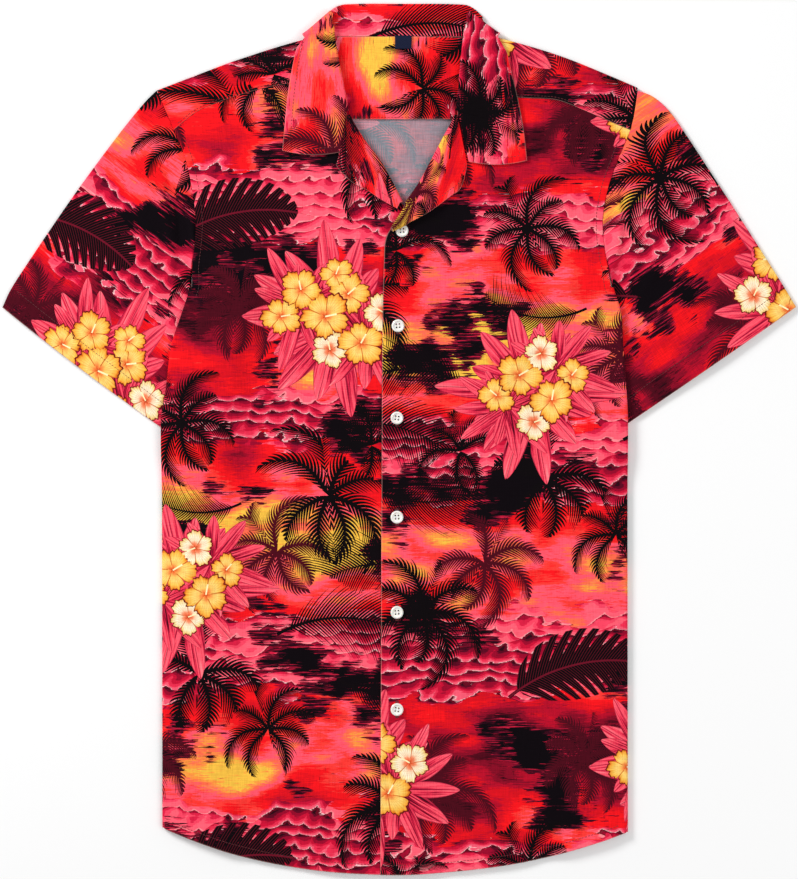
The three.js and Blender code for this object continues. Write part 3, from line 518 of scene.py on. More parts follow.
def inner_yoke():
    """The inner yoke, seen inside the neck, printed side up, with its lower edge turned and stitched."""
    x = mix(-216, 214, spread(150, 430))[None]
    side_top = np.where(x < 0, along(SHOULDER, "right", np.abs(x), key="across"),
                        along(SHOULDER, "left", np.abs(x), key="across"))
    clear = 3
    in_neck = rise(np.abs(x), 84, 74)
    top_y = mix(side_top - clear - 0.6, NECK_SEAM - SEAM_GAP, in_neck)
    top_x = x - np.sign(x) * clear * (1 - in_neck)
    t = spread(40, 74)[:, None]
    low_x = yoke_back_x(x) - np.sign(x) * clear * rise(np.abs(x), 80, 200)
    px, py = mix(top_x, low_x, t), mix(top_y, BACK_YOKE_SEAM - 2.5, t)
    above = py - (BACK_YOKE_SEAM - 2.5)
    in_view = rise(np.abs(x), 62, 40)
    soft = ((-30, 352, -22, 300, 6, 0.5), (16, 350, 26, 310, 7, -0.4), (38, 340, 44, 300, 5, 0.5))
    z = back_z(px, py) + LAYER + in_view * (step_at(above - 3, 0.3) + pucker(above - 2, px, 0.12)
                                            + pucker(NECK_SEAM - py, px, 0.16, 5, 7)
                                            + 0.7 * creases(px, py, soft))
    points = np.stack([px, py, z], axis=-1)
    return {"points": points, "plan": (px, py), "flip": True, "edges": "top bottom"}


def facing(side):
    """Lapel: a narrow leg inside the front, the half-round roll, and the lapel lying on the front. The left
    one has its tongue in more rows at the end, a share e along it, where the roll closes to a fold."""
    sign = SIGN[side]
    rows = 64
    more = 14 if side == "left" else 0
    t = np.concatenate([spread(rows, 96), np.ones(more)])[:, None]
    e = np.concatenate([np.zeros(rows), np.linspace(0, 1, more + 1)[1:]])[:, None]
    y = mix(GORGE_TOP - 2.6, 215.5 if side == "left" else 214.4, t)
    slope = (roll_x(side, y + 2) - roll_x(side, y - 2)) / 4
    size = np.hypot(1, slope)
    out_x, out_y = -sign / size, sign * slope / size
    inset = COLLAR_HALF + TURNED_BACK + ROLL_RISE / 2
    cx, cy = roll_x(side, y) - out_x * inset, y - out_y * inset
    edge_px = along(LAPEL_EDGE, side + "X", t, key="t")
    edge_py = along(LAPEL_EDGE, side + "Y", t, key="t")
    if more:
        shift = cx[rows - 1] - TONGUE["innerX"][0], cy[rows - 1] - TONGUE["innerY"][0]
        inner_x, inner_y, outer_x, outer_y = (
            along(TONGUE, name, e, key="e") for name in ("innerX", "innerY", "outerX", "outerY"))
        cx = np.where(e > 0, inner_x + shift[0] * (1 - e), cx)
        cy = np.where(e > 0, inner_y + shift[1] * (1 - e), cy)
        edge_px, edge_py = np.where(e > 0, outer_x, edge_px), np.where(e > 0, outer_y, edge_py)
    edge_height = mix(front_z(side, roll_x(side, y) + sign * 4, y), front_z(side, cx, cy), rise(e, 0, 0.3))
    over_button = 0.9 * rise(e, 0, 0.5)
    high = edge_height + TURNED_BACK + ROLL_RISE + over_button
    low = mix(edge_height - TURNED_BACK, high - 1.2, rise(e, 0, 0.25))
    deep = np.array((8, 5, 2.5, 0.0))
    leg_x, leg_y = cx - out_x * deep, cy - out_y * deep
    leg_z = np.minimum(low, front_z(side, leg_x, leg_y) - TURNED_BACK)
    angle, radius = half_turn(9), (high - low) / 2
    turn_x = cx + out_x * radius * np.cos(angle)
    turn_y = cy + out_y * radius * np.cos(angle)
    turn_z = low + radius * (1 + np.sin(angle))
    u = spread(26, 50)
    lap_x, lap_y = mix(cx, edge_px, u), mix(cy, edge_py, u)
    from_edge = (1 - u) * np.hypot(edge_px - cx, edge_py - cy)
    rolled = 0.5 * rise(from_edge, 7, 1) * rise(t, 0.02, 0.15) * (1 - e)
    laid = leaf_z(side, lap_x, lap_y) + over_button
    lap_z = mix(laid, high, rise(u, 0.12, 0)) + rolled + step_at(from_edge - 6, 0.25) * (1 - e)
    points = joined(1, (leg_x, leg_y, leg_z), (turn_x, turn_y, turn_z), (lap_x, lap_y, lap_z))
    keep = np.ones((rows + more - 1, points.shape[1] - 1), bool)
    keep[rows - 1:, :deep.size] = False
    plan = (unroll(points, deep.size + angle.size, sign), points[..., 1])
    return {"points": points, "keep": keep, "plan": plan, "flip": side == "right", "edges": "right bottom"}


def collar_leaf(side):
    """A collar leaf: hidden stand, roll and leaf, and its turn round the shoulder under the back neck."""
    sign = SIGN[side]
    share = 0.72
    roll_rows, end_rows, wrap_rows = 60, 24, 8
    s = np.concatenate([spread(roll_rows, 100) * share, share + (1 - share) * spread(end_rows, 40)])[:, None]
    on_roll = np.arange(s.size)[:, None] < roll_rows
    y = np.where(on_roll, mix(385, GORGE_TOP, s / share), GORGE_TOP)
    inner_z = front_z(side, roll_x(side, y) + sign * 3, y)
    roll_high = inner_z + TURNED_BACK + ROLL_RISE
    inset = COLLAR_HALF + (roll_high - inner_z) / 2
    down = np.clip((s - share) / (1 - share), 0, 1)
    corner_x, corner_y = LEAF_CORNER[side]
    inner_x = np.where(on_roll, roll_x(side, y) + sign * inset,
                       mix(roll_x(side, GORGE_TOP) + sign * 2, corner_x, down) + sign * 0.4)
    inner_y = np.where(on_roll, y, mix(GORGE_TOP, corner_y, down))
    outer_x, outer_y = along(LEAF_EDGE, side + "X", s, key="t"), along(LEAF_EDGE, side + "Y", s, key="t")
    stand_x = mix(inner_x, neck_x(side, inner_y) - sign * 0.9, np.linspace(1, 0, 4))
    angle, radius = half_turn(7), (roll_high - inner_z) / 2
    turn_x = inner_x - sign * radius * np.cos(angle)
    turn_z = inner_z + radius * (1 + np.sin(angle))
    u = spread(34, 55)
    leaf_x = mix(inner_x, outer_x, u)
    leaf_y = mix(inner_y, outer_y, u) - 3.2 * 4 * u * (1 - u) * s ** 4
    to_edge = np.hypot(outer_x - inner_x, outer_y - inner_y) * (1 - u)
    to_end = 110 * (1 - s)
    sewn = step_at(np.minimum(to_edge, to_end) - 6, 0.28) + pucker(to_edge - 6, leaf_y, 0.1, 6, 8)
    soft = 0.35 * rise(to_edge, 0, 10) * creases(leaf_x, leaf_y, ()) + 0.4 * rise(to_edge, 8, 1)
    high = leaf_z(side, leaf_x, leaf_y) + sewn + soft * rise(s, 0, 0.12)
    leaf_height = np.where(on_roll, mix(high, roll_high, rise(u, 0.14, 0)), high)
    skip = stand_x.shape[1] + turn_x.shape[1]
    full = joined(1, (stand_x, inner_y, inner_z), (turn_x, inner_y, turn_z), (leaf_x, leaf_y, leaf_height))
    run = full[0, -1, :2] - full[0, skip, :2]
    run = run / np.linalg.norm(run)
    outward = np.array((-run[1] * sign, run[0] * sign))
    near_top = np.clip(1 - s / 0.1, 0, 1)[..., None]
    to_corner = np.concatenate([np.zeros(skip), u ** 4])[None, :, None]
    full[..., :2] -= (outward * (COLLAR_HALF + 2.7) + run * 3.8 * to_corner) * near_top
    lows = full[0].copy()
    wrap_angle = half_turn(wrap_rows)[:, None]
    wrap_radius = (lows[:, 2] - COLLAR_HALF) / 2
    shift = (wrap_radius * np.cos(wrap_angle))[..., None]
    turned = np.concatenate([lows[None, :, :2] + outward * shift,
                             (COLLAR_HALF + wrap_radius * (1 + np.sin(wrap_angle)))[..., None]], axis=-1)
    under = np.stack([lows, lows])
    under[:, :, 2] = COLLAR_HALF
    under[0, :, :2] -= outward * 13
    points = np.concatenate([under, turned, full], axis=0)
    rows, columns = points.shape[:2]
    keep = np.ones((rows - 1, columns - 1), bool)
    wrap = len(under) + wrap_rows
    keep[:wrap + 8, :skip] = False
    keep[:wrap + int(np.searchsorted(s[:, 0], 0.2)), :stand_x.shape[1]] = False
    keep[wrap + roll_rows - 2:, :skip] = False
    keep[wrap + roll_rows - 1] = False
    length = unroll(points, 12, -1, axis=0)
    across = unroll(points, skip, sign)
    return {"points": points, "keep": keep, "plan": (length, across), "flip": side == "right",
            "edges": "right bottom"}


def collar_back():
    """Behind the neck: the stand seen from inside, its fold at the top and the fall on the surface."""
    t = spread(56, 130)[None]
    radius = 1.05
    low, high = COLLAR_HALF, COLLAR_HALF + 2 * radius
    fold_x = mix(-66, 74, t)
    seam_x = mix(-64, 62, t)
    top_y = along(COLLAR_TOP, "y", fold_x, key="x") - COLLAR_HALF - radius
    u = spread(16, 28)[:, None]
    sx, sy = mix(seam_x, fold_x, u), mix(NECK_SEAM, top_y, u)
    bulge = 0.9 * np.sin(math.pi * u) ** 1.2 + pucker(sy - NECK_SEAM, sx, 0.12, 5, 7)
    angle = -half_turn(7)[:, None]
    g = spread(12, 62)[:, None]
    points = joined(0, (sx, sy, mix(high + 0.5, high, u) + bulge),
                    (fold_x, top_y + radius * np.cos(angle), low + radius * (1 + np.sin(angle))),
                    (mix(fold_x, mix(-97, 100, t), g), mix(top_y, 327, g), low))
    plan = (np.broadcast_to(seam_x, points.shape[:2]), unroll(points, 0, 1, axis=0))
    return {"points": points, "plan": plan, "flip": False}


def sleeve_upper(side, v, share):
    """Middle of a sleeve's upper layer, v along from armhole to cuff, share across from its top fold."""
    sign = SIGN[side]
    shape = SLEEVE[side]
    start_y = np.interp(share, ARMHOLE["share"], ARMHOLE["y"])
    seam_x = side_x(side, np.maximum(start_y, FOLD_TOP)) + sign * 0.12
    under = np.clip((share - 0.86) / 0.14, 0, 1)
    start_x = mix(seam_x, shape["underarm"][0], under)
    start_z = HALF + LAYER + LAYER * rise(start_y, 262, 286)
    end_x = mix(shape["outer"][0], shape["inner"][0], share)
    end_y = mix(shape["outer"][1], shape["inner"][1], share)
    run = np.hypot(shape["outer"][0] - start_x[..., :1], shape["outer"][1] - 314.4)
    head_x = sign * (314.4 - shape["outer"][1]) / run
    head_y = sign * (shape["outer"][0] - start_x[..., :1]) / run
    out = along(SLEEVE_HEAD, side, v, key="v") * (1 - share) ** 2
    x = mix(start_x, end_x, v) + head_x * out
    y = mix(start_y, end_y, v) + head_y * out
    bow = CUFF_BOW[side] * 4 * share * (1 - share) * v ** 2
    x, y = x + sign * head_y * bow, y - sign * head_x * bow
    edge = mix(2.6, HALF + LAYER, rise(share, 0, 0.4))
    full = 1.7 * np.sin(math.pi * np.minimum(share / 0.8, 1)) ** 2
    return x, y, mix(start_z, edge + full, rise(v, 0, 0.27))


# Length of a sleeve from armhole to cuff, in millimetres
SLEEVE_LENGTH = 232


def sleeve(side):
    """A flat tube: columns run over the upper layer, round the underarm fold, back under and up again.
    Its print runs on over the top fold and breaks at the underarm, where the sleeve's own seam is."""
    sign = SIGN[side]
    v = spread(84, SLEEVE_LENGTH)[:, None]
    share = spread(104, 196)[None]
    x, y, z = sleeve_upper(side, v, share)
    across = np.stack([x[:, -1] - x[:, 0], y[:, -1] - y[:, 0]], axis=-1)
    across = across / np.linalg.norm(across, axis=-1, keepdims=True)
    top_in = (HALF + (z[:, :1] - HALF) / 2) * np.clip(1 - share / 0.07, 0, 1)
    low_in = (HALF + LAYER / 2) * np.clip((share - 0.93) / 0.07, 0, 1)
    ux = x + across[:, :1] * (top_in - low_in)
    uy = y + across[:, 1:] * (top_in - low_in)
    from_cuff = (1 - v) * SLEEVE_LENGTH
    ends = rise(share, 0, 0.06) * rise(share, 1, 0.9)
    relief = (creases(ux, uy, SLEEVE_CREASES[side]) * rise(v, 0, 0.03) * rise(v, 1, 0.93)
              + step_at(from_cuff - 20, 0.4) + pucker(from_cuff - 20, share * 196, 0.16)
              + pucker(v * SLEEVE_LENGTH, share * 196, 0.2, 8, 11))
    upper_z = np.maximum(z + ends * relief, np.minimum(z, HALF + 0.95))
    upper = joined(1, (ux, uy, upper_z))
    lower = joined(1, (ux[:, ::3], uy[:, ::3], HALF))[:, ::-1]
    angle = half_turn(7)

    def fold(index, way, order):
        """Half-round turn beside a column, outwards by way, its points in the order asked for."""
        radius = (z[:, index:index + 1] - HALF) / 2
        fx = ux[:, index:index + 1] + way * across[:, :1] * radius * np.cos(angle)
        fy = uy[:, index:index + 1] + way * across[:, 1:] * radius * np.cos(angle)
        fz = HALF + radius * (1 + np.sin(angle))
        return joined(1, (fx, fy, fz))[:, ::order]

    last = ux.shape[1] - 1
    points = np.concatenate([upper, fold(last, 1, -1), lower, fold(0, -1, 1)], axis=1)
    outer, inner = np.array(SLEEVE[side]["outer"]), np.array(SLEEVE[side]["inner"])
    grain = (inner - outer) / np.linalg.norm(inner - outer)
    from_corner = points[..., :2] - outer
    width = from_corner @ grain
    width = np.maximum(width - width[:, :1], 0)
    width[:, last + 1 + angle.size:] *= -1
    length = from_corner @ np.array((-grain[1], grain[0])) * -sign
    return {"points": points, "plan": (width, length), "ring": True, "flip": side == "right",
            "edges": "bottom"}


def label_tape():
    """The bare label: a small tape sewn at the neck seam, drawn as one layer bowed a little; its two turned-in
    ends are not drawn.
    """
    u, v = spread(24, 15)[None], spread(20, 12)[:, None]
    x = LABEL["x"] + LABEL["width"] * (u - 0.5)
    y = LABEL["y"] + LABEL["height"] * (v - 0.5)
    bow = 0.35 * np.sin(math.pi * v) + 0.25 * rise(v, 0.3, 0) * np.sin(math.pi * u)
    z = back_z(x, y) + LAYER + HALF + 0.75 + bow
    return joined(1, (x, y, z))


# The print's repeat and its motifs, in centimetres of cloth: place, turn in degrees, size and tone.
# A fan is a head of drooping fronds. Of the leaves, kind 0 is a feathered frond and kind 1 a broad split
# leaf, and bend turns the midrib over its length.
REPEAT = np.array((29.0, 58.0))
FANS_OVER = {
    "x": (6.0, 12.4, 24.0, 17.6, 4.4, 21.5, 27.4), "y": (20.5, 15.5, 8.5, 36.5, 43.0, 41.0, 23.0),
    "turn": (84, 112, 70, 96, 120, 62, 104), "size": (7.6, 5.4, 7.0, 7.8, 6.2, 5.2, 5.0),
    "tone": (0.11, 0.47, 0.73, 0.29, 0.91, 0.57, 0.83),
}
FANS_UNDER = {
    "x": (0.5, 13.0, 24.5, 9.5), "y": (13.0, 31.5, 50.0, 53.5), "turn": (60, 130, 90, 80),
    "size": (6.4, 6.0, 6.6, 6.0), "tone": (0.37, 0.81, 0.15, 0.63),
}
LEAVES = {
    "x": (14.0, 27.5, 3.5, 19.5, 9.0), "y": (24.5, 29.0, 1.5, 19.5, 35.5), "turn": (24, 150, 35, -25, 200),
    "size": (12, 11, 12, 10, 9), "bend": (-58, 62, -46, 50, -60), "kind": (0, 0, 1, 0, 0),
    "tone": (0.1, 0.4, 0.7, 0.2, 0.9),
}
SPRAYS_WIDE = {
    "x": (18.4, 4.6), "y": (52.0, 28.5), "turn": (20, 75), "size": (9.6, 8.8), "tone": (0.21, 0.64),
}
SPRAYS = {
    "x": (21.2, 7.0, 15.2, 2.6), "y": (50.6, 30.4, 53.4, 27.0), "turn": (50, 100, 140, 200),
    "size": (6.8, 6.2, 6.4, 5.8), "tone": (0.33, 0.86, 0.52, 0.08),
}
BLOSSOMS_OVER = {
    "x": (17.4, 20.6, 15.2, 22.6, 3.6, 6.6, 5.6), "y": (52.6, 50.2, 55.0, 53.0, 29.8, 27.6, 31.8),
    "turn": (12, 60, 100, 150, 30, 80, 200), "size": (2.1, 1.9, 1.7, 1.7, 2.0, 1.9, 1.6),
    "tone": (0.12, 0.71, 0.33, 0.85, 0.52, 0.24, 0.93),
}
BLOSSOMS_UNDER = {
    "x": (19.4, 17.8, 13.4, 18.4, 5.0, 1.6, 8.4), "y": (54.6, 49.6, 52.6, 56.4, 25.6, 28.0, 29.8),
    "turn": (40, 100, 10, 70, 20, 140, 50), "size": (1.9, 1.6, 1.7, 1.5, 1.6, 1.6, 1.5),
    "tone": (0.61, 0.87, 0.22, 0.43, 0.95, 0.14, 0.36),
}
# Where a corner lies that is in no motif, in motif sizes, and a jump between the corners of one face that
# only the print's break at a tube's seam can make, in centimetres
FAR = 9.0
PRINT_BREAK = 5


def motif_places(corners, table, reach):
    """Each face takes the motif whose middle is nearest for its size, and its corners get their place in
    that motif: along and across in units of its size. A bent one is measured on a circle: along is the
    angle turned over the whole bend, and across the distance in from the circle."""
    middle = corners.mean(axis=1, keepdims=True)
    best = np.full(len(corners), reach)
    local = np.zeros((len(corners), 4, 3))
    local[..., :2] = FAR
    for index in range(len(table["x"])):
        centre = np.array((table["x"][index], table["y"][index]))
        size = table["size"][index]
        turn = math.radians(table["turn"][index])
        bend = math.radians(table["bend"][index]) if "bend" in table else 0
        out = np.array((math.cos(turn), math.sin(turn)))
        side = np.array((-out[1], out[0]))
        heart = centre + out * size / 2 if bend else centre
        copies = np.round((middle - heart) / REPEAT)
        offset = corners - centre - copies * REPEAT
        a, b = offset @ out / size, offset @ side / size
        if bend:
            radius = 1 / bend
            reach_in = radius - b
            way = np.sign(bend)
            b = radius - way * np.hypot(a, reach_in)
            a = np.arctan2(a * way, reach_in * way) / bend
            far = np.maximum(np.abs(a.mean(axis=1) - 0.5) / 0.62, np.abs(b.mean(axis=1)) / 0.45)
        else:
            far = np.hypot(a.mean(axis=1), b.mean(axis=1))
        nearer = far < best
        best[nearer] = far[nearer]
        mark = table["tone"][index] + (table["kind"][index] if "kind" in table else 0)
        local[nearer] = np.stack([a, b, np.full(a.shape, mark)], axis=-1)[nearer]
    return local


LAYERS = (
    ("fan_under", FANS_UNDER, 1.05), ("fan_over", FANS_OVER, 1.05), ("leaf", LEAVES, 1.0),
    ("spray_wide", SPRAYS_WIDE, 1.02), ("spray", SPRAYS, 1.02), ("bloom_under", BLOSSOMS_UNDER, 1.25),
    ("bloom_over", BLOSSOMS_OVER, 1.25),
)


def place_on_cloth(plan, turn, offset):
    """Place on the printed cloth, in centimetres: the cutting plan turned by some degrees and moved."""
    angle = math.radians(turn)
    a, b = plan[0] / 10, plan[1] / 10
    return np.stack([a * math.cos(angle) - b * math.sin(angle) + offset[0],
                     a * math.sin(angle) + b * math.cos(angle) + offset[1]], axis=-1)


def cells(shape, keep=None, ring=False, flip=False):
    """The four corners of every kept cell of a grid, turned over where its right side is below."""
    rows, columns = shape
    i, j = np.meshgrid(np.arange(rows - 1), np.arange(columns if ring else columns - 1), indexing="ij")
    after = (j + 1) % columns
    faces = np.stack([i * columns + j, i * columns + after, (i + 1) * columns + after, (i + 1) * columns + j],
                     axis=-1)
    faces = faces[keep] if keep is not None else faces.reshape(-1, 4)
    return faces[:, ::-1] if flip else faces


def edges_worn_and_highlit(grid):
    """1 on the edges named for a grid, as they lie in its table of points, and 0 inside them. There the print
    is paled, partly as ink worn at a fold and partly as a painted highlight along the folded edge.
    """
    worn = np.zeros(grid["points"].shape[:2])
    places = {"top": np.s_[0], "bottom": np.s_[-1], "left": np.s_[:, 0], "right": np.s_[:, -1]}
    for edge in grid.get("edges", "").split():
        worn[places[edge]] = 1
    return worn.ravel()


def add_piece(name, points, faces, finishes=(), shift=(*SHIFT, 0)):
    """Adds an object with a smooth mesh, its points given in millimetres on the cutting plan."""
    mesh = bpy.data.meshes.new(name)
    mesh.from_pydata(((points + shift) * MM).tolist(), [], faces)
    mesh.polygons.foreach_set("use_smooth", np.ones(len(mesh.polygons), bool))
    for finish in finishes:
        mesh.materials.append(material(finish))
    piece = bpy.data.objects.new(name, mesh)
    bpy.context.scene.collection.objects.link(piece)
    return piece


def dress(piece, node, thickness, wrong_side=0):
    """Gives a cloth piece its thickness and lets it stand for a solid of the frame. Its wrong side takes the
    material that many places after its right side's."""
    solid = piece.modifiers.new("Thickness of the cloth", "SOLIDIFY")
    solid.thickness = thickness * MM
    solid.offset = 0
    solid.use_even_offset = False
    solid.material_offset = wrong_side
    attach(piece, "root")
    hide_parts(node)


def sew(name, grids, node, prints, thickness, both_sides):
    """Joins grids into one cloth piece, with the place of every point on the printed cloth and of every
    face corner in its motifs."""
    points, faces, cloth, corner_places, worn, base = [], [], [], [], [], 0
    for grid, (turn, offset) in zip(grids, prints):
        shape = grid["points"].shape[:2]
        own = cells(shape, grid.get("keep"), grid.get("ring", False), grid["flip"])
        place = place_on_cloth(np.broadcast_arrays(*grid["plan"]), turn, offset).reshape(-1, 2)
        corners = place[own]
        if grid.get("ring"):
            around = np.abs(corners - corners[:, :1]).max(axis=(1, 2)) > PRINT_BREAK
            corners[around] = corners[around][:, :1]
        faces.append(own + base)
        points.append(grid["points"].reshape(-1, 3))
        cloth.append(place)
        corner_places.append(corners)
        worn.append(edges_worn_and_highlit(grid))
        base += shape[0] * shape[1]
    used, faces = np.unique(np.concatenate(faces), return_inverse=True)
    points, cloth, worn = (np.concatenate(part)[used] for part in (points, cloth, worn))
    corner_places = np.concatenate(corner_places)
    inside = "printed_poplin" if both_sides else "printed_poplin_wrong_side"
    piece = add_piece(name, points, faces.reshape(-1, 4).tolist(), ("printed_poplin", inside))
    # The third number of the cloth attribute pales the print along folded edges: partly worn ink, partly a
    # painted highlight.
    add_attribute(piece.data, "cloth", "POINT", np.column_stack([cloth, worn]))
    for layer, table, reach in LAYERS:
        add_attribute(piece.data, layer, "CORNER", motif_places(corner_places, table, reach))
    dress(piece, node, thickness, 1)
    piece.data.validate()
    return piece


def add_attribute(mesh, name, domain, values):
    """Stores one vector for every point or face corner."""
    attribute = mesh.attributes.new(name, "FLOAT_VECTOR", domain)
    attribute.data.foreach_set("vector", np.ascontiguousarray(values, np.float32).ravel())


def linear(colour):
    """Linear colour of an sRGB hex value: the sRGB curve undone for each channel."""
    channels = [int(colour[i:i + 2], 16) / 255 for i in (1, 3, 5)]
    return (*[c / 12.92 if c <= 0.04045 else ((c + 0.055) / 1.055) ** 2.4 for c in channels], 1.0)


def feed(tree, node, inputs):
    """Joins links to a node's inputs, or sets values on them, by order, by index or by name."""
    for key, value in (inputs.items() if isinstance(inputs, dict) else enumerate(inputs)):
        if isinstance(value, bpy.types.NodeSocket):
            tree.links.new(value, node.inputs[key])
        elif value is not None:
            node.inputs[key].default_value = linear(value) if isinstance(value, str) else value


def put(tree, kind, inputs=(), output=0, stops=None, **settings):
    """Adds one node with its settings, inputs and colour stops, and gives one of its outputs."""
    node = tree.nodes.new("ShaderNode" + kind)
    for key, value in settings.items():
        setattr(node, key, value)
    feed(tree, node, inputs)
    if stops:
        elements = node.color_ramp.elements
        while len(elements) < len(stops):
            elements.new(1.0)
        for element, (position, colour) in zip(elements, stops):
            element.position = position
            element.color = linear(colour) if isinstance(colour, str) else (colour, colour, colour, 1)
        node.color_ramp.interpolation = "CONSTANT" if isinstance(stops, tuple) else "LINEAR"
    return node.outputs[output]


SYMBOLS = {
    "+": "ADD", "-": "SUBTRACT", "*": "MULTIPLY", "/": "DIVIDE", "^": "POWER", "<": "LESS_THAN",
    ">": "GREATER_THAN", "* +": "MULTIPLY_ADD",
}


def reckon(tree, values, formulas):
    """Adds a Math node for each formula, such as a = b * c + d or a = SINE b, and keeps its value."""
    for formula in filter(str.strip, formulas.replace("\n", ";").split(";")):
        name, _, *words = formula.split()
        if words[0].isupper():
            operation, terms = words[0], words[1:]
        else:
            operation, terms = SYMBOLS[" ".join(words[1::2])], words[::2]
        inputs = [values[term] if term in values else float(term) for term in terms]
        values[name] = put(tree, "Math", inputs, operation=operation)


def own_place(tree, layer):
    """The three numbers of a motif layer at a point: along, across and its mark."""
    vector = put(tree, "Attribute", attribute_name=layer, output="Vector")
    split = put(tree, "SeparateXYZ", [vector]).node
    return dict(zip(("s", "d", "mark"), split.outputs))


CHANCE = """
    seeded = cell * 12.9898 + mark; sine = SINE seeded; large = sine * 4375.85; chance = FRACT large
"""
ROUND = """
    dd = d * d; rr = s * s + dd; r = SQRT rr; angle = ARCTAN2 d s
"""
# Fronds leave the head all round and droop away from the fan's own axis, by 0.9 r^2 radians, so a frond's
# sector is told by |angle| less that. Their leaflets lean along the rib and thin to points.
FAN = ROUND + """
    side = SIGN angle; open = ABSOLUTE angle; rise = rr * -0.9 + open; turned = rise * 1.35 + 0.0
    number = FLOOR turned; part = FRACT turned; aside = part - 0.5; cell = side * 7.3 + number
""" + CHANCE + """
    long = chance * -0.42 + 1.0; q = r / long; shift = chance * 0.24 + -0.12; moved = aside + shift
    spread = moved * 0.74; lateral = spread * r; out = ABSOLUTE lateral; upper = lateral > 0.0
    leaned = out * -1.1 + q; bow = out * out; root = bow * -2.2 + leaned; stagger = upper * 0.5 + seeded
    row = root * 17.0 + stagger; leaflet_no = FLOOR row; l1 = leaflet_no * 78.233; l2 = SINE l1
    l3 = l2 * 437.58; luck = FRACT l3; rest = 1.02 - q; hump = q * rest; dome = hump * 4.0
    dome_up = MAXIMUM dome 0.0; round = dome_up ^ 0.6; reach = luck * -0.11 + 0.27; length = round * reach
    length_up = MAXIMUM length 0.001; share = out / length_up; left = 1.0 - share
    left_up = MAXIMUM left 0.0; slim = left_up ^ 0.7; half = slim * 0.5; near = PINGPONG row 0.5
    off = 0.5 - near; leaflet = off < half; thin = q * -0.024 + 0.028; rib = out < thin; short = q < 1.0
    whole = MAXIMUM leaflet rib; fan1 = whole * short; some = chance < 0.9; fan = fan1 * some
"""
# Leaflets leave the midrib on a slant and bow: root = s - 0.8 |d| - 0.6 d^2. They are up to 0.38 times
# the square root of 4 root (1 - root) long, and narrow to a point there.
FROND = """
    out = ABSOLUTE d; bow = d * d; leaned = out * -0.8 + s; root = bow * -0.6 + leaned; upper = d > 0.0
    stagger = upper * 0.5; row = root * 40.0 + stagger; cell = FLOOR row
""" + CHANCE + """
    rest = 1.0 - root; hump = root * rest; dome = hump * 4.0; dome_up = MAXIMUM dome 0.0
    round = SQRT dome_up; longest = chance * -0.2 + 0.38; long = round * longest
    length = MAXIMUM long 0.001; share = out / length; left = 1.0 - share; left_up = MAXIMUM left 0.0
    slim = left_up ^ 0.7; half = slim * 0.42; near = PINGPONG row 0.5; off = 0.5 - near
    leaflet = off < half; thin = s * -0.01 + 0.012; rib = out < thin; centred = s - 0.45
    reach = ABSOLUTE centred; within = reach < 0.54; stem = rib * within; frond = MAXIMUM leaflet stem
"""
# A broad leaf is 0.26 times the 0.6th power of 4 s (1 - s) wide a side, and its slits open outwards.
BROAD = """
    rest_b = 1.0 - s; hump_b = s * rest_b; dome_b = hump_b * 4.0; dome_bu = MAXIMUM dome_b 0.0
    round_b = dome_bu ^ 0.6; wide_b = round_b * 0.26; width_b = MAXIMUM wide_b 0.001
    share_b = out / width_b; lean_b = out * -0.8 + s; stagger_b = upper * 0.4
    row_b = lean_b * 11.0 + stagger_b; near_b = PINGPONG row_b 0.5; past_b = share_b - 0.35
    slit_b = past_b * 0.34; whole_b = near_b > slit_b; inside_b = share_b < 1.0
    blade_b = whole_b * inside_b; broad = MAXIMUM blade_b stem; vein_b = PINGPONG row_b 0.125
    veined_b = vein_b < 0.02; rib_b = out < 0.007; light_b = MAXIMUM veined_b rib_b
"""
KIND = """
    is_broad = mark > 1.0; swap = broad - frond; leaf = swap * is_broad + frond
    light = light_b * is_broad
"""


def spray_steps(count, shortest, spare, start):
    """Pointed leaves round a middle, one in each of count sectors: half as wide as 0.115 times the 0.75th
    power of 4 q (1 - q), where q is the share of the leaf's own length."""
    return ROUND + f"""
        turned = angle * {count / 6.2832} + {start}; cell = FLOOR turned; part = FRACT turned
    """ + CHANCE + f"""
        veer = chance * 0.3 + -0.65; aside = part + veer; long = chance * {spare} + {shortest}
        q = r / long; rest = 1.0 - q; hump = q * rest; dome = hump * 4.0; dome_up = MAXIMUM dome 0.0
        round = dome_up ^ 0.75; half = round * 0.115; spread = aside * {6.2832 / count}
        lateral = spread * r; off = ABSOLUTE lateral; petal = off < half; short = q < 1.0
        mask = petal * short; ridge = off < 0.005; near_edge = half * 0.9; margin = off > near_edge
    """


# Five ruffled petals of unlike length: the outline is 0.5 plus 0.36 times the root of 1 - f^2, with f
# from -1 to 1 over a petal, and up to 0.24 more by chance.
BLOSSOM = ROUND + """
    turned = angle * 0.79577; cell = FLOOR turned
""" + CHANCE + """
    part = FRACT turned; aside = part * 2.0 + -1.0; aside2 = aside * aside; rest = 1.0 - aside2
    arch = SQRT rest; plain = arch * 0.36 + 0.5; grown = chance * 0.24 + plain; fast = angle * 17.0 + mark
    ruffle = SINE fast; faster = angle * 31.0; ruffle2 = SINE faster; edge1 = ruffle * 0.045 + grown
    edge = ruffle2 * 0.03 + edge1; u = r / edge; mask = u < 1.0; side = ABSOLUTE aside; gap = 1.0 - side
    gap_r = gap * r; seam = gap_r < 0.04; far = r > 0.22; petal_line = seam * far; vein_at = aside * 26.0
    vein_wave = SINE vein_at; vein = vein_wave > 0.66; y_off = ABSOLUTE d; pistil_y = y_off < 0.035
    pistil_x = s > 0.0; pistil_end = s < 0.5; pistil1 = pistil_y * pistil_x; pistil = pistil1 * pistil_end
    pale1 = FRACT mark; pale = pale1 > 0.8
"""


def layered(tree, colour, *layers, blend="MIX"):
    """A colour with others laid over it in turn, each by a share."""
    for share, ink in layers:
        colour = put(tree, "Mix", {0: share, 6: colour, 7: ink}, output=2, data_type="RGBA", blend_type=blend)
    return colour


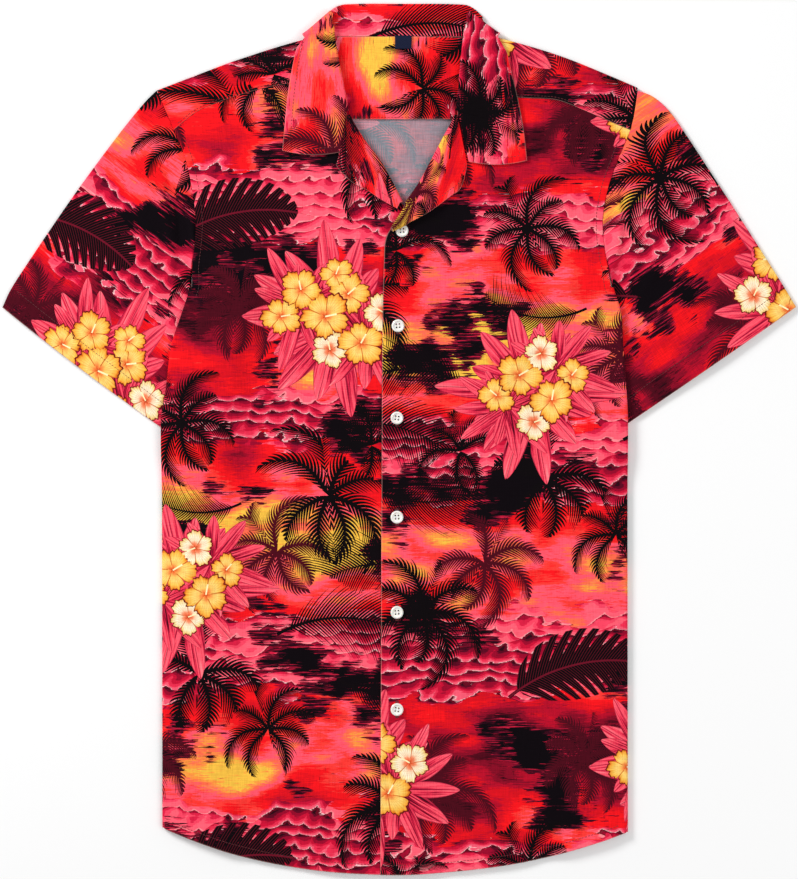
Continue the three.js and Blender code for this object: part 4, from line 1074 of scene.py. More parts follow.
# The wash in flat inks from black to gold, the tone of the ground up the repeat, and where the ripples lie
WASH = (
    (0.0, "#08030A"), (0.10, "#22040E"), (0.16, "#4E0618"), (0.23, "#860A24"), (0.31, "#B40C28"),
    (0.40, "#D8101E"), (0.49, "#F2141C"), (0.61, "#F83A34"), (0.68, "#FF5468"), (0.78, "#FF6A4A"),
    (0.85, "#FA9440"), (0.91, "#F2BC44"),
)
TIDE = [(0.0, 0.44), (0.06, 0.38), (0.14, 0.60), (0.23, 0.76), (0.30, 0.56), (0.38, 0.34), (0.46, 0.52),
        (0.53, 0.84), (0.59, 0.90), (0.65, 0.66), (0.72, 0.50), (0.80, 0.58), (0.88, 0.30), (0.94, 0.24),
        (1.0, 0.44)]
RIPPLED = [(0.0, 0.0), (0.02, 0.9), (0.13, 1.0), (0.17, 0.0), (0.29, 0.0), (0.34, 1.0), (0.42, 1.0),
           (0.47, 0.0), (0.68, 0.0), (0.72, 0.8), (0.78, 0.9), (0.82, 0.0), (1.0, 0.0)]
RIPPLE = (
    (0.0, "#2C0512"), (0.20, "#66081E"), (0.31, "#F8C4C4"), (0.335, "#F25870"), (0.44, "#E62C4C"),
    (0.55, "#C61034"), (0.68, "#96082A"), (0.84, "#5A0620"), (0.96, "#22040E"),
)
HATCH = ((0.0, "#14040C"), (0.44, "#34061A"), (0.52, "#6A0A22"), (0.58, "#A01030"), (0.64, "#C8203E"))
PINK_RIPPLE = (
    (0.0, "#A00A2E"), (0.24, "#7A0820"), (0.30, "#FF8A92"), (0.36, "#FF5E72"), (0.62, "#F64460"),
    (0.78, "#D81E42"), (0.92, "#B00C30"),
)


# Noises of the print: cycles to a centimetre across and along, detail, roughness and where each starts
NOISES = (
    ("cloud", 0.085, 0.15, 2.0, 0.5, 3.0), ("streak", 0.20, 3.0, 3.0, 0.7, 11.0),
    ("fine", 0.7, 11.0, 2.0, 0.7, 29.0), ("warp", 0.16, 0.34, 2.0, 0.5, 47.0),
    ("patch", 0.1, 0.13, 3.0, 0.55, 83.0), ("hatch", 0.36, 8.0, 3.0, 0.6, 97.0),
)


def cloth_noise(tree, cloth, scale_x, scale_y, detail, rough, shift):
    """Flat noise on the printed cloth, so many cycles to a centimetre across and along."""
    place = put(tree, "Mapping", {
        "Vector": cloth, "Location": (shift, shift, 0), "Scale": (scale_x, scale_y, 0),
    })
    return put(tree, "TexNoise", {
        "Vector": place, "Scale": 1.0, "Detail": detail, "Roughness": rough,
    }, noise_dimensions="2D")


def printed_colour(tree):
    """The print: a streaky sunset-coloured wash with ripples, then leaves, sprays and blossoms in turn, and
    last its folded edges paled, partly as worn ink and partly as a painted highlight.
    """
    cloth = put(tree, "Attribute", attribute_name="cloth", output="Vector")
    split = put(tree, "SeparateXYZ", [cloth]).node
    values = dict(zip(("x", "y", "worn"), split.outputs))
    for name, *shape in NOISES:
        values[name] = cloth_noise(tree, cloth, *shape)
    place = put(tree, "Mapping", {"Vector": cloth, "Location": (71.0, 71.0, 0), "Scale": (0.2, 0.42, 0)})
    values["billow"] = put(tree, "TexVoronoi", {"Vector": place, "Scale": 1.0, "Smoothness": 0.35},
                           voronoi_dimensions="2D", feature="SMOOTH_F1")
    reckon(tree, values, f"""
        level = warp * 0.1 + -0.05; y_share = y * {1 / REPEAT[1]} + level; height = FRACT y_share
    """)
    values["tide"] = put(tree, "ValToRGB", [values["height"]], stops=TIDE)
    values["rippled"] = put(tree, "ValToRGB", [values["height"]], stops=RIPPLED)
    reckon(tree, values, """
        t1 = cloud * 1.0 + -0.5; t2 = streak * 0.3 + t1; t3 = fine * 0.16 + t2; t4 = billow * -0.3 + t3
        hair1 = streak * 0.8 + fine; hair = hair1 > 1.06; t5 = t4 + tide; t6 = hair * -0.15 + t5
        tone = t6 - 0.08; w1 = warp * 2.6 + 0.0; w2 = y * 0.86 + w1; w_no = FLOOR w2; u = FRACT w2
        w3 = w_no * 1.618; w4 = x * 0.55 + w3; w5 = warp * 2.0 + w4; arc = PINGPONG w5 0.5
        arc2 = arc * 3.1416; scallop = SINE arc2; v1 = scallop * 0.34 + u; v2 = fine * 0.22 + v1
        v3 = streak * 0.3 + v2; v4 = v3 * 0.62; v = v4 - 0.05; rag = streak * 0.9 + rippled
        in_ripple = rag > 1.05; pink_water = cloud > 0.5; p1 = streak * 0.22 + patch; p2 = fine * 0.1 + p1
        dark_patch = p2 > 0.745; darker_patch = p2 > 0.8
    """)
    wash = put(tree, "ValToRGB", [values["tone"]], stops=WASH)
    ripple = put(tree, "ValToRGB", [values["v"]], stops=RIPPLE)
    pink_ripple = put(tree, "ValToRGB", [values["v"]], stops=PINK_RIPPLE)
    ripple = layered(tree, ripple, (values["pink_water"], pink_ripple))
    colour = layered(tree, wash, (values["in_ripple"], ripple))
    hatched = put(tree, "ValToRGB", [values["hatch"]], stops=HATCH)
    colour = layered(tree, colour, (values["dark_patch"], hatched))
    colour = layered(tree, colour, (values["darker_patch"], "#0A0409"))

    for layer, ink in (("fan_under", "#4A0818"), ("fan_over", "#0A0508")):
        fan = own_place(tree, layer)
        reckon(tree, fan, FAN)
        colour = layered(tree, colour, (fan["fan"], ink))
    leaf = own_place(tree, "leaf")
    reckon(tree, leaf, FROND + BROAD + KIND)
    colour = layered(tree, colour, (leaf["leaf"], "#0C0509"))
    reckon(tree, leaf, "drawn = light * leaf")
    colour = layered(tree, colour, (leaf["drawn"], "#6A1024"))

    for layer, count, shortest, spare, start in (
            ("spray_wide", 14, 0.6, 0.4, 0.37), ("spray", 11, 0.6, 0.4, 0.0)):
        spray = own_place(tree, layer)
        reckon(tree, spray, spray_steps(count, shortest, spare, start))
        at = put(tree, "CombineXYZ", [spray["q"], spray["lateral"], spray["cell"]])
        lines = put(tree, "Mapping", {"Vector": at, "Scale": (1.3, 46.0, 3.1)})
        spray["grain"] = put(tree, "TexNoise", {"Vector": lines, "Scale": 1.0, "Detail": 2.0, "Roughness": 0.6})
        reckon(tree, spray, """
            strong = grain * 1.7 + -0.5; paler = q * 0.34 + strong; shade = chance * 0.08 + paler
        """)
        pink = put(tree, "ValToRGB", [spray["shade"]], stops=(
            (0.0, "#4A0618"), (0.30, "#8E0C2A"), (0.42, "#CC1E40"), (0.52, "#EE3E56"), (0.66, "#FF5A6C"),
            (0.90, "#FF7C84"),
        ))
        colour = layered(tree, colour, (spray["mask"], pink))
        reckon(tree, spray, """
            line = MAXIMUM ridge margin; line_in = line * mask; line_part = line_in * 0.75
        """)
        colour = layered(tree, colour, (spray["line_part"], "#9A1034"))

    for layer in ("bloom_under", "bloom_over"):
        bloom = own_place(tree, layer)
        reckon(tree, bloom, BLOSSOM)
        reckon(tree, bloom, """
            wide = r * 0.93; ring = wide < edge; lit = part * -0.14 + u; lit2 = lit + 0.07
        """)
        golden = put(tree, "ValToRGB", [bloom["lit2"]], stops=[
            (0.0, "#B04018"), (0.10, "#E8602C"), (0.22, "#F4904A"), (0.36, "#FAC464"), (0.55, "#FCD676"),
            (0.78, "#F9C456"), (0.93, "#F3A63A"), (1.0, "#DC7018"),
        ])
        cream = put(tree, "ValToRGB", [bloom["lit2"]], stops=[
            (0.0, "#A03018"), (0.14, "#E8603C"), (0.30, "#F4906A"), (0.44, "#FADCB8"), (0.70, "#FBF0CE"),
            (0.90, "#F6E0A0"), (1.0, "#EEC070"),
        ])
        reckon(tree, bloom, "soft = vein * 0.38; lined = petal_line * 0.8")
        petal = layered(tree, golden, (bloom["pale"], cream), (bloom["soft"], "#E8843A"),
                        (bloom["lined"], "#C85A18"), (bloom["pistil"], "#FFF0B8"))
        colour = layered(tree, colour, (bloom["ring"], "#701812"), (bloom["mask"], petal))
    # Folded edges paled to pink: partly ink worn at the fold, partly a painted highlight.
    reckon(tree, values, "worn_part = worn * 0.34")
    return cloth, layered(tree, colour, (values["worn_part"], "#E8A8A0")), values


def cloth_shader(tree, cloth, colour, roughness):
    """Poplin: threads both ways with slubs, drawn 1.2 mm apart, a third of a millimetre in the real
    cloth, as the finest that shows. They shade the colour a little and raise the surface."""
    values = {"warp": cloth_noise(tree, cloth, 8.3, 0.7, 2.0, 0.55, 0.0),
              "weft": cloth_noise(tree, cloth, 0.7, 8.3, 2.0, 0.55, 17.0)}
    reckon(tree, values, "both = warp + weft; shade = both * 0.42 + 0.58")
    grey = put(tree, "CombineColor", [values["shade"]] * 3)
    tinted = layered(tree, colour, (1.0, grey), blend="MULTIPLY")
    bump = put(tree, "Bump", {"Strength": 0.5, "Distance": 0.00035, "Height": values["both"]})
    feed(tree, tree.nodes["Principled BSDF"], {
        "Base Color": tinted, "Roughness": roughness, "Normal": bump, "Specular IOR Level": 0.06,
        "Sheen Weight": 0.012, "Sheen Roughness": 0.5,
    })


def make_material(name):
    """A new material with its Principled shader and output, as Blender makes it."""
    made = bpy.data.materials.new(name)
    made.use_nodes = True
    return made


def printed_poplin():
    """Cotton poplin, roller printed: matt, with the ink in the threads, so colour is full and flat."""
    made = make_material("printed_poplin")
    cloth, colour, _ = printed_colour(made.node_tree)
    cloth_shader(made.node_tree, cloth, colour, 0.86)
    return made


def printed_poplin_wrong_side():
    """The same cloth's inside: the ink shows through faded and specked, as the threads are white there."""
    made = make_material("printed_poplin_wrong_side")
    tree = made.node_tree
    cloth, colour, values = printed_colour(tree)
    pale = layered(tree, "#77828A", (0.44, colour), blend="ADD")
    speck = cloth_noise(tree, cloth, 7.0, 7.0, 2.0, 0.7, 0.0)
    values["spots"] = put(tree, "ValToRGB", [speck], stops=[(0.46, 0.0), (0.58, 1.0)])
    reckon(tree, values, "some = spots * 0.3")
    pale = layered(tree, pale, (values["some"], "#8A8E98"))
    cloth_shader(tree, cloth, pale, 0.9)
    return made


def woven_label_tape():
    """Damask-woven polyester tape, navy: fine ribs across it give it a dull satin light."""
    made = make_material("woven_label_tape")
    tree = made.node_tree
    place = put(tree, "TexCoord", output="Object")
    ribs = put(tree, "TexWave", {"Vector": place, "Scale": 620.0, "Distortion": 0.6, "Detail": 2.0},
               bands_direction="Y", output=1)
    tone = put(tree, "ValToRGB", [ribs], stops=[(0.2, "#0C1128"), (0.8, "#171E3A")])
    bump = put(tree, "Bump", {"Strength": 0.4, "Distance": 0.0002, "Height": ribs})
    feed(tree, tree.nodes["Principled BSDF"], {
        "Base Color": tone, "Roughness": 0.62, "Normal": bump, "Specular IOR Level": 0.12,
    })
    return made


def polished_resin():
    """Cast polyester buttons, turned and tumbled: glossy white with the faintest clouding."""
    made = make_material("polished_resin")
    tree = made.node_tree
    place = put(tree, "TexCoord", output="Object")
    cloud = put(tree, "TexNoise", {"Vector": place, "Scale": 320.0, "Detail": 3.0})
    tone = put(tree, "ValToRGB", [cloud], stops=[(0.3, "#E9E5DE"), (0.7, "#F8F6F2")])
    feed(tree, tree.nodes["Principled BSDF"], {
        "Base Color": tone, "Roughness": 0.16, "IOR": 1.55, "Coat Weight": 0.3, "Coat Roughness": 0.06,
        "Subsurface Weight": 0.12, "Subsurface Scale": 0.001,
    })
    return made


def spun_thread(name, dark, bright):
    """Spun polyester sewing thread: two plies catch the light in turns, drawn 0.9 mm long."""
    made = make_material(name)
    tree = made.node_tree
    place = put(tree, "TexCoord", output="Object")
    plies = put(tree, "TexNoise", {"Vector": place, "Scale": 1100.0, "Detail": 1.0})
    tone = put(tree, "ValToRGB", [plies], stops=[(0.35, dark), (0.65, bright)])
    feed(tree, tree.nodes["Principled BSDF"], {"Base Color": tone, "Roughness": 0.6, "Sheen Weight": 0.2})
    return made


def seam_thread():
    """Thread of the seams, dyed to the ground of the print."""
    return spun_thread("seam_thread", "#3A0612", "#78101F")


def white_thread():
    """Thread of the buttons, left white."""
    return spun_thread("white_thread", "#D8D4CC", "#F4F2EE")


MAKERS = {maker.__name__: maker for maker in (
    printed_poplin, printed_poplin_wrong_side, woven_label_tape, polished_resin, seam_thread, white_thread,
)}


def material(name):
    """The material of that name, made the first time that it is asked for."""
    return bpy.data.materials.get(name) or MAKERS[name]()


def beside(points, gap):
    """For each column of a grid, the point on it that lies a gap before its last row."""
    off = np.linalg.norm(points - points[-1:], axis=-1)
    low = np.clip((off > gap).sum(axis=0) - 1, 0, len(off) - 2)
    each = np.arange(off.shape[1])
    before, after = off[low, each], off[low + 1, each]
    share = ((before - gap) / np.maximum(before - after, 1e-6))[:, None]
    return mix(points[low, each], points[low + 1, each], share)


def stitch_line(line, lift, pitch, gap):
    """Both ends of every stitch on a line of points, its whole run shared out in equal steps."""
    run = np.concatenate([[0], np.cumsum(np.linalg.norm(np.diff(line, axis=0), axis=1))])
    count = int(run[-1] // pitch)
    starts = (np.arange(count) + 0.5) * run[-1] / count - (pitch - gap) / 2
    up = (0, 0, lift)
    return [np.column_stack([np.interp(at, run, line[:, axis]) + up[axis] for axis in range(3)])
            for at in (starts, starts + pitch - gap)]


def buttonhole(x, y, lift):
    """A worked buttonhole, up and down the front: two rows of threads with a slit between, and a bar of
    longer threads at each end."""
    up = np.arange(-13, 14) * 0.52
    bars = np.array((-7.4, -7.1, 7.1, 7.4))
    rows = ((-1.5, -0.2, up), (0.2, 1.5, up), (-1.6, 1.6, bars))
    ends = []
    for side in (0, 1):
        ys = np.concatenate([y + row[2] for row in rows])
        xs = np.concatenate([np.full(len(row[2]), x + row[side]) for row in rows])
        ends.append(np.column_stack([xs, ys, front_surface("left", xs, ys) + lift]))
    return ends


# Rings along a drawn thread, and the sides of each
GRAIN_RINGS, GRAIN_SIDES = 6, 5


def grains(a, b, width):
    """A thread end to end between each pair of points: a five-sided tube with blunt ends, bowed up 0.12 mm,
    its radius the root of 1 - k^4 along it, k from -1 to 1."""
    k = np.linspace(-1, 1, GRAIN_RINGS)[None, :, None, None]
    angle = np.arange(GRAIN_SIDES) / GRAIN_SIDES * 2 * math.pi
    direction = b - a
    length = np.linalg.norm(direction, axis=1, keepdims=True)
    direction = direction / length
    side = np.stack([-direction[:, 1], direction[:, 0], np.zeros(len(a))], axis=-1)
    side /= np.linalg.norm(side, axis=1, keepdims=True)
    up = np.cross(direction, side)
    middle = ((a + b) / 2)[:, None, None]
    radius = width / 2 * np.sqrt(np.maximum(1 - k ** 4, 0.02))
    ring = (np.cos(angle)[None, None, :, None] * side[:, None, None]
            + np.sin(angle)[None, None, :, None] * up[:, None, None])
    bowed = 0.12 * (1 - k * k) * np.array((0, 0, 1.0))
    points = middle + k * direction[:, None, None] * length[:, None, None] / 2 + ring * radius + bowed
    faces = cells((GRAIN_RINGS, GRAIN_SIDES), ring=True)[:, ::-1]
    first = np.arange(GRAIN_SIDES)
    caps = np.array((-first % GRAIN_SIDES, (GRAIN_RINGS - 1) * GRAIN_SIDES + first))
    base = (np.arange(len(a)) * GRAIN_RINGS * GRAIN_SIDES)[:, None, None]
    quads, caps = (faces[None] + base).reshape(-1, 4), (caps[None] + base).reshape(-1, GRAIN_SIDES)
    return points.reshape(-1, 3), quads, caps


def thread_piece(name, ends, width, finish):
    """Joins threads into one piece, from both ends of each."""
    a, b = (np.concatenate(side) for side in zip(*ends))
    points, quads, caps = grains(a, b, width)
    piece = add_piece(name, points, quads.tolist() + caps.tolist(), [finish])
    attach(piece, "root")


def button_z(x, y):
    """Height of the underside of a button that lies on the left front."""
    return float(front_z("left", np.array(x), np.array(y))) + HALF + SEAM_GAP + 0.12


# A button: sides of its circles, roundness of its rim, and place and size of its holes, in millimetres
BUTTON_SIDES, HOLE_SIDES = 56, 18
RIM = 0.85
HOLE_AT, HOLE_RADIUS = 1.4, 0.8


def turned_button(radius, height):
    """A button turned from a profile: a rounded rim, a shallow dish, and four holes cut through it."""
    rim = np.linspace(-0.5, 0.5, 9) * math.pi
    bottom = np.stack([np.linspace(0.02, radius - 0.75, 6), np.zeros(6)], axis=-1)
    edge = np.stack([radius - RIM + RIM * np.cos(rim), RIM + RIM * np.sin(rim)], axis=-1)
    t = np.linspace(0, 1, 7)
    lip = np.stack([radius - 0.95 - 1.1 * t, height - 0.02 - 0.85 * rise(t, 0, 1)], axis=-1)
    lip[:, 1] += 0.35 * np.sin(math.pi * t)
    dish = np.stack([np.linspace(radius - 2.3, 0.02, 6), np.linspace(height - 0.9, height - 1.0, 6)], axis=-1)
    profile = np.concatenate([bottom, edge, lip, dish])
    angle = np.arange(BUTTON_SIDES) / BUTTON_SIDES * 2 * math.pi
    points = joined(0, (profile[:, :1] * np.cos(angle), profile[:, :1] * np.sin(angle), profile[:, 1:]))
    faces = cells(points.shape[:2], ring=True).tolist()
    last = (len(profile) - 1) * BUTTON_SIDES
    faces += [list(range(BUTTON_SIDES))[::-1], list(range(last, last + BUTTON_SIDES))]
    shape = add_piece("button_shape", points.reshape(-1, 3), faces, shift=0)
    hole_angle = np.arange(HOLE_SIDES) / HOLE_SIDES * 2 * math.pi
    posts, post_faces = [], []
    for k, (x, y) in enumerate(((1, 1), (-1, 1), (-1, -1), (1, -1))):
        base = 2 * HOLE_SIDES * k
        ring_x = x * HOLE_AT + HOLE_RADIUS * np.cos(hole_angle)
        ring_y = y * HOLE_AT + HOLE_RADIUS * np.sin(hole_angle)
        posts.append(joined(0, (ring_x, ring_y, -1), (ring_x, ring_y, height + 1)))
        post_faces += (cells((2, HOLE_SIDES), ring=True) + base).tolist()
        post_faces += [list(range(base, base + HOLE_SIDES))[::-1],
                       list(range(base + HOLE_SIDES, base + 2 * HOLE_SIDES))]
    cutter = add_piece("button_holes", np.concatenate(posts), post_faces, shift=0)
    cut = shape.modifiers.new("Holes", "BOOLEAN")
    cut.operation = "DIFFERENCE"
    cut.solver = "EXACT"
    cut.object = cutter
    bpy.context.view_layer.update()
    ready = shape.evaluated_get(bpy.context.evaluated_depsgraph_get())
    made = bpy.data.meshes.new_from_object(ready)
    bpy.data.objects.remove(shape)
    bpy.data.objects.remove(cutter)
    made.polygons.foreach_set("use_smooth", np.ones(len(made.polygons), bool))
    made.set_sharp_from_angle(angle=math.radians(40))
    return made


# How each piece of cloth was cut: its name, the solid that it replaces, flat width and length in metres,
# its flat area in square metres and what it lies on
CUTS = {
    "back_cloth": ("back", (0.52, 0.68), 0.3144, ["sleeve_right", "sleeve_left"]),
    "front_right_cloth": ("front_right", (0.27, 0.715), 0.1714, ["back"]),
    "front_left_cloth": ("front_left", (0.27, 0.71), 0.1664, ["front_right"]),
    "outer_yoke_cloth": ("yoke_outer", (0.436, 0.13), 0.0361, ["collar"]),
    "inner_yoke_cloth": ("yoke_inner", (0.43, 0.075), 0.0245, ["yoke_outer"]),
    "lapel_right_cloth": ("facing_right", (0.06, 0.10), 0.0033, ["front_right"]),
    "lapel_left_cloth": ("facing_left", (0.06, 0.10), 0.0040, ["front_left"]),
    "collar_cloth": ("collar", (0.46, 0.10), 0.0286, ["front_right", "front_left"]),
    "sleeve_right_cloth": ("sleeve_right", (0.40, 0.25), 0.0608, []),
    "sleeve_left_cloth": ("sleeve_left", (0.40, 0.25), 0.0600, []),
}


def cut_cloth(name, grids, prints, thickness, both_sides=False):
    """Sews a piece in place of the solid that its cut names; the cut's flat size, area and what it lies on are
    not used. Each print is a turn in degrees and where the grid lies on the printed cloth, in centimetres."""
    node, flat, area, rests_on = CUTS[name]
    piece = sew(name, grids, node, prints, thickness, both_sides)
    return piece


class ShirtSettings(bpy.types.PropertyGroup):
    cloth_thickness: FloatProperty(
        name="Cloth thickness", description="Thickness of the poplin shells as drawn, in millimetres",
        default=0.8, min=0.3, max=1.0)
    collar_thickness: FloatProperty(
        name="Collar thickness", description="Thickness of collar and lapels as drawn, in millimetres",
        default=1.1, min=0.5, max=1.2)
    stitch_pitch: FloatProperty(
        name="Stitch pitch", description="Length of one stitch with its gap, in millimetres",
        default=3.0, min=2.0, max=6.0)
    thread_width: FloatProperty(
        name="Thread width", description="Width of the sewing thread as drawn, in millimetres",
        default=0.45, min=0.2, max=0.8)
    button_width: FloatProperty(
        name="Button width", description="Diameter of the buttons, in millimetres",
        default=11.5, min=9.0, max=15.0)


class StageSettings(bpy.types.PropertyGroup):
    camera_distance: FloatProperty(
        name="Camera distance", description="Height of the camera over the floor",
        default=3.2, unit="LENGTH")
    picture_height: FloatProperty(
        name="Picture height", description="Height of what the picture shows at the floor",
        default=0.7911, unit="LENGTH")
    picture_middle: FloatVectorProperty(
        name="Picture middle", description="Middle of the picture on the cutting plan, in millimetres",
        default=(-0.9, 0.45), size=2)
    light_power: FloatProperty(
        name="Light power", description="Power of the main soft light", default=62.0, unit="POWER")
    floor_colour: FloatVectorProperty(
        name="Floor colour", description="Colour of the floor",
        default=linear("#F6F6F6")[:3], subtype="COLOR")


class SHIRT_OT_stage(bpy.types.Operator):
    """Sets the camera straight above the shirt, soft studio light and a plain pale floor"""
    bl_idname = "shirt.stage"
    bl_label = "Stage"

    def execute(self, context):
        settings = context.scene.shirt_stage
        scene = context.scene
        scene.view_settings.view_transform = "Standard"
        x, y = (np.array(settings.picture_middle) + SHIFT) * MM
        lens = bpy.data.cameras.new("camera")
        lens.lens = 36 * settings.camera_distance / settings.picture_height
        lens.clip_end = 20
        camera = bpy.data.objects.new("camera", lens)
        camera.location = (x, y, settings.camera_distance)
        scene.collection.objects.link(camera)
        scene.camera = camera
        for name, place, size, power in (
            ("main_light", (-1.9, 1.5, 1.35), 0.9, settings.light_power),
            ("fill_light", (1.4, -0.6, 1.9), 1.8, settings.light_power * 0.3),
        ):
            lamp = bpy.data.lights.new(name, "AREA")
            lamp.shape = "DISK"
            lamp.size = size
            lamp.energy = power
            light = bpy.data.objects.new(name, lamp)
            light.location = place
            aim = np.array(place) / np.linalg.norm(place)
            light.rotation_euler = (math.acos(aim[2]), 0, math.atan2(aim[1], aim[0]) + math.pi / 2)
            scene.collection.objects.link(light)
        world = bpy.data.worlds.new("studio")
        world.use_nodes = True
        world.node_tree.nodes["Background"].inputs[0].default_value = (1, 1, 1, 1)
        world.node_tree.nodes["Background"].inputs[1].default_value = 0.5
        scene.world = world
        half, low = 3000, -0.4
        corners = np.array(((-half, -half, low), (half, -half, low), (half, half, low), (-half, half, low)))
        floor = add_piece("floor", corners, [(0, 1, 2, 3)], shift=0)
        paint = make_material("matt_floor_paint")
        feed(paint.node_tree, paint.node_tree.nodes["Principled BSDF"],
             {"Base Color": (*settings.floor_colour, 1), "Roughness": 0.9})
        floor.data.materials.append(paint)
        return {"FINISHED"}


class SHIRT_OT_body(bpy.types.Operator):
    """Makes the back and the two fronts, with their sides turned under"""
    bl_idname = "shirt.body"
    bl_label = "Back and fronts"

    def execute(self, context):
        thickness = context.scene.shirt.cloth_thickness
        cut_cloth("back_cloth", [back_panel()], [(0, (28.9, 22.0))], thickness)
        cut_cloth("front_right_cloth", [front_panel("right")], [(0, (24.0, 41.5))], thickness)
        cut_cloth("front_left_cloth", [front_panel("left")], [(0, (22.0, 24.0))], thickness)
        return {"FINISHED"}


class SHIRT_OT_yoke(bpy.types.Operator):
    """Makes the outer yoke over both shoulders and the inner yoke seen in the neck"""
    bl_idname = "shirt.yoke"
    bl_label = "Yokes"

    def execute(self, context):
        thickness = context.scene.shirt.cloth_thickness
        outer = [yoke_flap("right"), yoke_flap("left"), yoke_behind_neck()]
        cut_cloth("outer_yoke_cloth", outer, [(0, (5.0, 8.0)), (0, (12.0, 14.0)), (0, (5.0, 8.0))], thickness)
        cut_cloth("inner_yoke_cloth", [inner_yoke()], [(90, (44.0, 13.5))], thickness)
        return {"FINISHED"}


class SHIRT_OT_collar(bpy.types.Operator):
    """Makes the camp collar and the lapels turned back from the fronts"""
    bl_idname = "shirt.collar"
    bl_label = "Collar and lapels"

    def execute(self, context):
        thickness = context.scene.shirt.collar_thickness
        for side, offset in (("right", (20.0, 31.0)), ("left", (6.0, 30.0))):
            cut_cloth(f"lapel_{side}_cloth", [facing(side)], [(90, offset)], thickness, both_sides=True)
        parts = [collar_back(), collar_leaf("right"), collar_leaf("left")]
        cut_cloth("collar_cloth", parts, [(0, (16.0, 46.0)), (0, (4.0, 19.0)), (0, (33.0, 36.0))], thickness,
                  both_sides=True)
        return {"FINISHED"}


class SHIRT_OT_sleeves(bpy.types.Operator):
    """Makes the two sleeves, flat tubes with a wide sewn hem"""
    bl_idname = "shirt.sleeves"
    bl_label = "Sleeves"

    def execute(self, context):
        thickness = context.scene.shirt.cloth_thickness
        for side, offset in (("right", (36.0, 52.0)), ("left", (20.0, 50.0))):
            cut_cloth(f"sleeve_{side}_cloth", [sleeve(side)], [(0, offset)], thickness)
        return {"FINISHED"}


class SHIRT_OT_label(bpy.types.Operator):
    """Makes the bare woven label at the neck seam"""
    bl_idname = "shirt.label"
    bl_label = "Neck label"

    def execute(self, context):
        points = label_tape()
        faces = cells(points.shape[:2]).tolist()
        piece = add_piece("label_tape_cloth", points.reshape(-1, 3), faces, ["woven_label_tape"])
        dress(piece, "neck_label", 0.6)
        return {"FINISHED"}


class SHIRT_OT_buttons(bpy.types.Operator):
    """Makes the six buttons and the thread that holds each of them"""
    bl_idname = "shirt.buttons"
    bl_label = "Buttons"

    def execute(self, context):
        width = context.scene.shirt.button_width
        shape = turned_button(width / 2, 2.3)
        shape.materials.append(material("polished_resin"))
        ends = []
        for index, (x, y) in enumerate(BUTTONS):
            z = button_z(x, y)
            mesh = shape.copy()
            place = np.zeros(len(mesh.vertices) * 3)
            mesh.vertices.foreach_get("co", place)
            turn = math.radians(9 * math.sin(2.1 * index + 0.4))
            cos, sin = math.cos(turn), math.sin(turn)
            spun = np.array(((cos, -sin, 0), (sin, cos, 0), (0, 0, 1)))
            place = place.reshape(-1, 3) @ spun.T + np.array((x + SHIFT[0], y + SHIFT[1], z)) * MM
            mesh.vertices.foreach_set("co", place.ravel())
            mesh.update()
            piece = bpy.data.objects.new(f"shirt_button_{index + 1}", mesh)
            context.scene.collection.objects.link(piece)
            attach(piece, "root")
            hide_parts(f"button_{index + 1}")
            for hole_x in (-HOLE_AT, HOLE_AT):
                for ply in (-0.2, 0.2):
                    low = np.array((hole_x + ply, -1.15, 0)) @ spun.T
                    high = np.array((hole_x + ply, 1.15, 0)) @ spun.T
                    middle = np.array((x, y, z + 1.4))
                    ends.append(((middle + low)[None], (middle + high)[None]))
        thread_piece("button_threads", ends, 0.42, "white_thread")
        return {"FINISHED"}


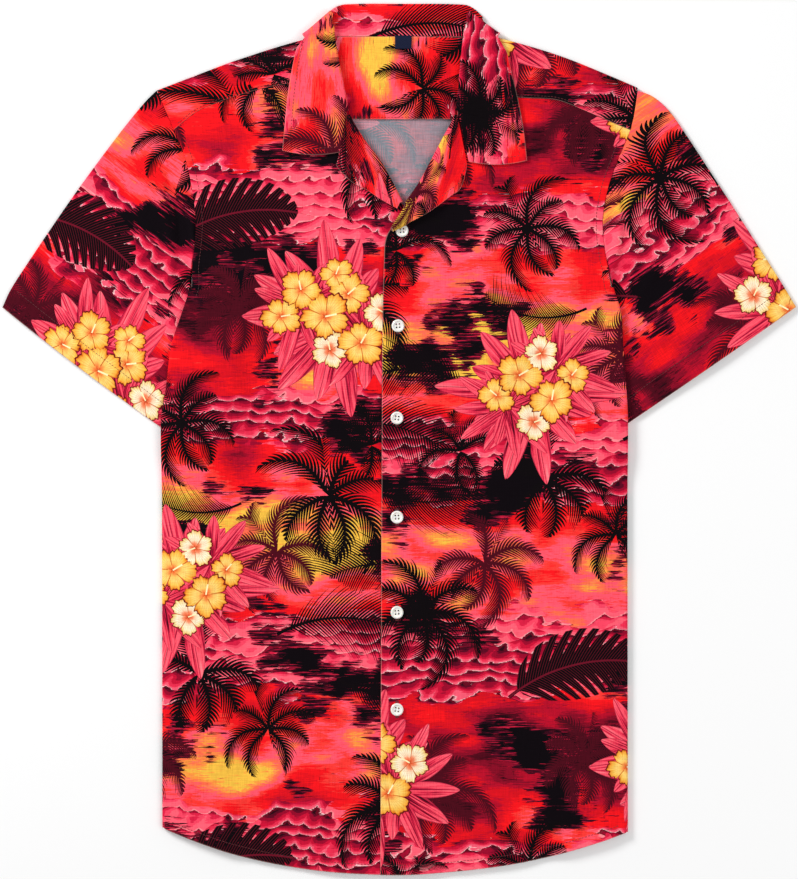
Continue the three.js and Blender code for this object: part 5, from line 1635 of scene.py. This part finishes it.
class SHIRT_OT_sewing(bpy.types.Operator):
    """Makes the lines of stitches and the six worked buttonholes"""
    bl_idname = "shirt.sewing"
    bl_label = "Sewing"

    def execute(self, context):
        settings = context.scene.shirt
        pitch, gap = settings.stitch_pitch, 0.6
        lift = settings.cloth_thickness / 2 + 0.05
        # Each line follows an edge of a grid, so many millimetres inside it
        lines = [beside(inner_yoke()["points"][:, 56:95], 1.8)]
        for side in ("right", "left"):
            front, flap, leaf, lapel, tube = (make(side)["points"] for make in (
                front_panel, yoke_flap, collar_leaf, facing, sleeve))
            lines += [
                beside(np.swapaxes(front[4:58, UNDER_COLUMNS:60][:, ::-1], 0, 1), 6),
                beside(front[:, UNDER_COLUMNS + 3:-4 if side == "left" else -14], 9),
                beside(flap[:18][::-1, 2:-2], 2.2),
                beside(np.swapaxes(leaf[16:-5, 12:], 0, 1), 6),
                beside(leaf[60:, 14:-4], 6),
                beside(np.swapaxes(lapel[4:60, 14:], 0, 1), 5.5),
                beside(tube[:, 3:101], 20),
            ]
        ends = [stitch_line(line, lift, pitch, gap) for line in lines]
        thread_piece("seam_stitches", ends, settings.thread_width, "seam_thread")
        holes = [buttonhole(x, y, lift) for x, y in BUTTONS]
        thread_piece("buttonholes", holes, settings.thread_width, "seam_thread")
        return {"FINISHED"}


PIECES = (SHIRT_OT_stage, SHIRT_OT_body, SHIRT_OT_yoke, SHIRT_OT_collar, SHIRT_OT_sleeves, SHIRT_OT_label,
          SHIRT_OT_buttons, SHIRT_OT_sewing)


class SHIRT_PT_panel(bpy.types.Panel):
    """Lists the pieces of the shirt in the order that they are made"""
    bl_label = "Hawaiian shirt"
    bl_idname = "SHIRT_PT_panel"
    bl_space_type = "VIEW_3D"
    bl_region_type = "UI"
    bl_category = "Shirt"

    def draw(self, context):
        for settings in (context.scene.shirt, context.scene.shirt_stage):
            for name in settings.__annotations__:
                self.layout.prop(settings, name)
        for operator in PIECES:
            self.layout.operator(operator.bl_idname)


CLASSES = (ShirtSettings, StageSettings, *PIECES, SHIRT_PT_panel)


def register():
    for kind in CLASSES:
        bpy.utils.register_class(kind)
    bpy.types.Scene.shirt = PointerProperty(type=ShirtSettings)
    bpy.types.Scene.shirt_stage = PointerProperty(type=StageSettings)


def unregister():
    del bpy.types.Scene.shirt_stage
    del bpy.types.Scene.shirt
    for kind in reversed(CLASSES):
        bpy.utils.unregister_class(kind)


def main():
    """Registers the add-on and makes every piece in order."""
    register()
    bpy.ops.shirt.stage()
    bpy.ops.shirt.body()
    bpy.ops.shirt.yoke()
    bpy.ops.shirt.collar()
    bpy.ops.shirt.sleeves()
    bpy.ops.shirt.label()
    bpy.ops.shirt.buttons()
    bpy.ops.shirt.sewing()


if __name__ == "__main__":
    main()
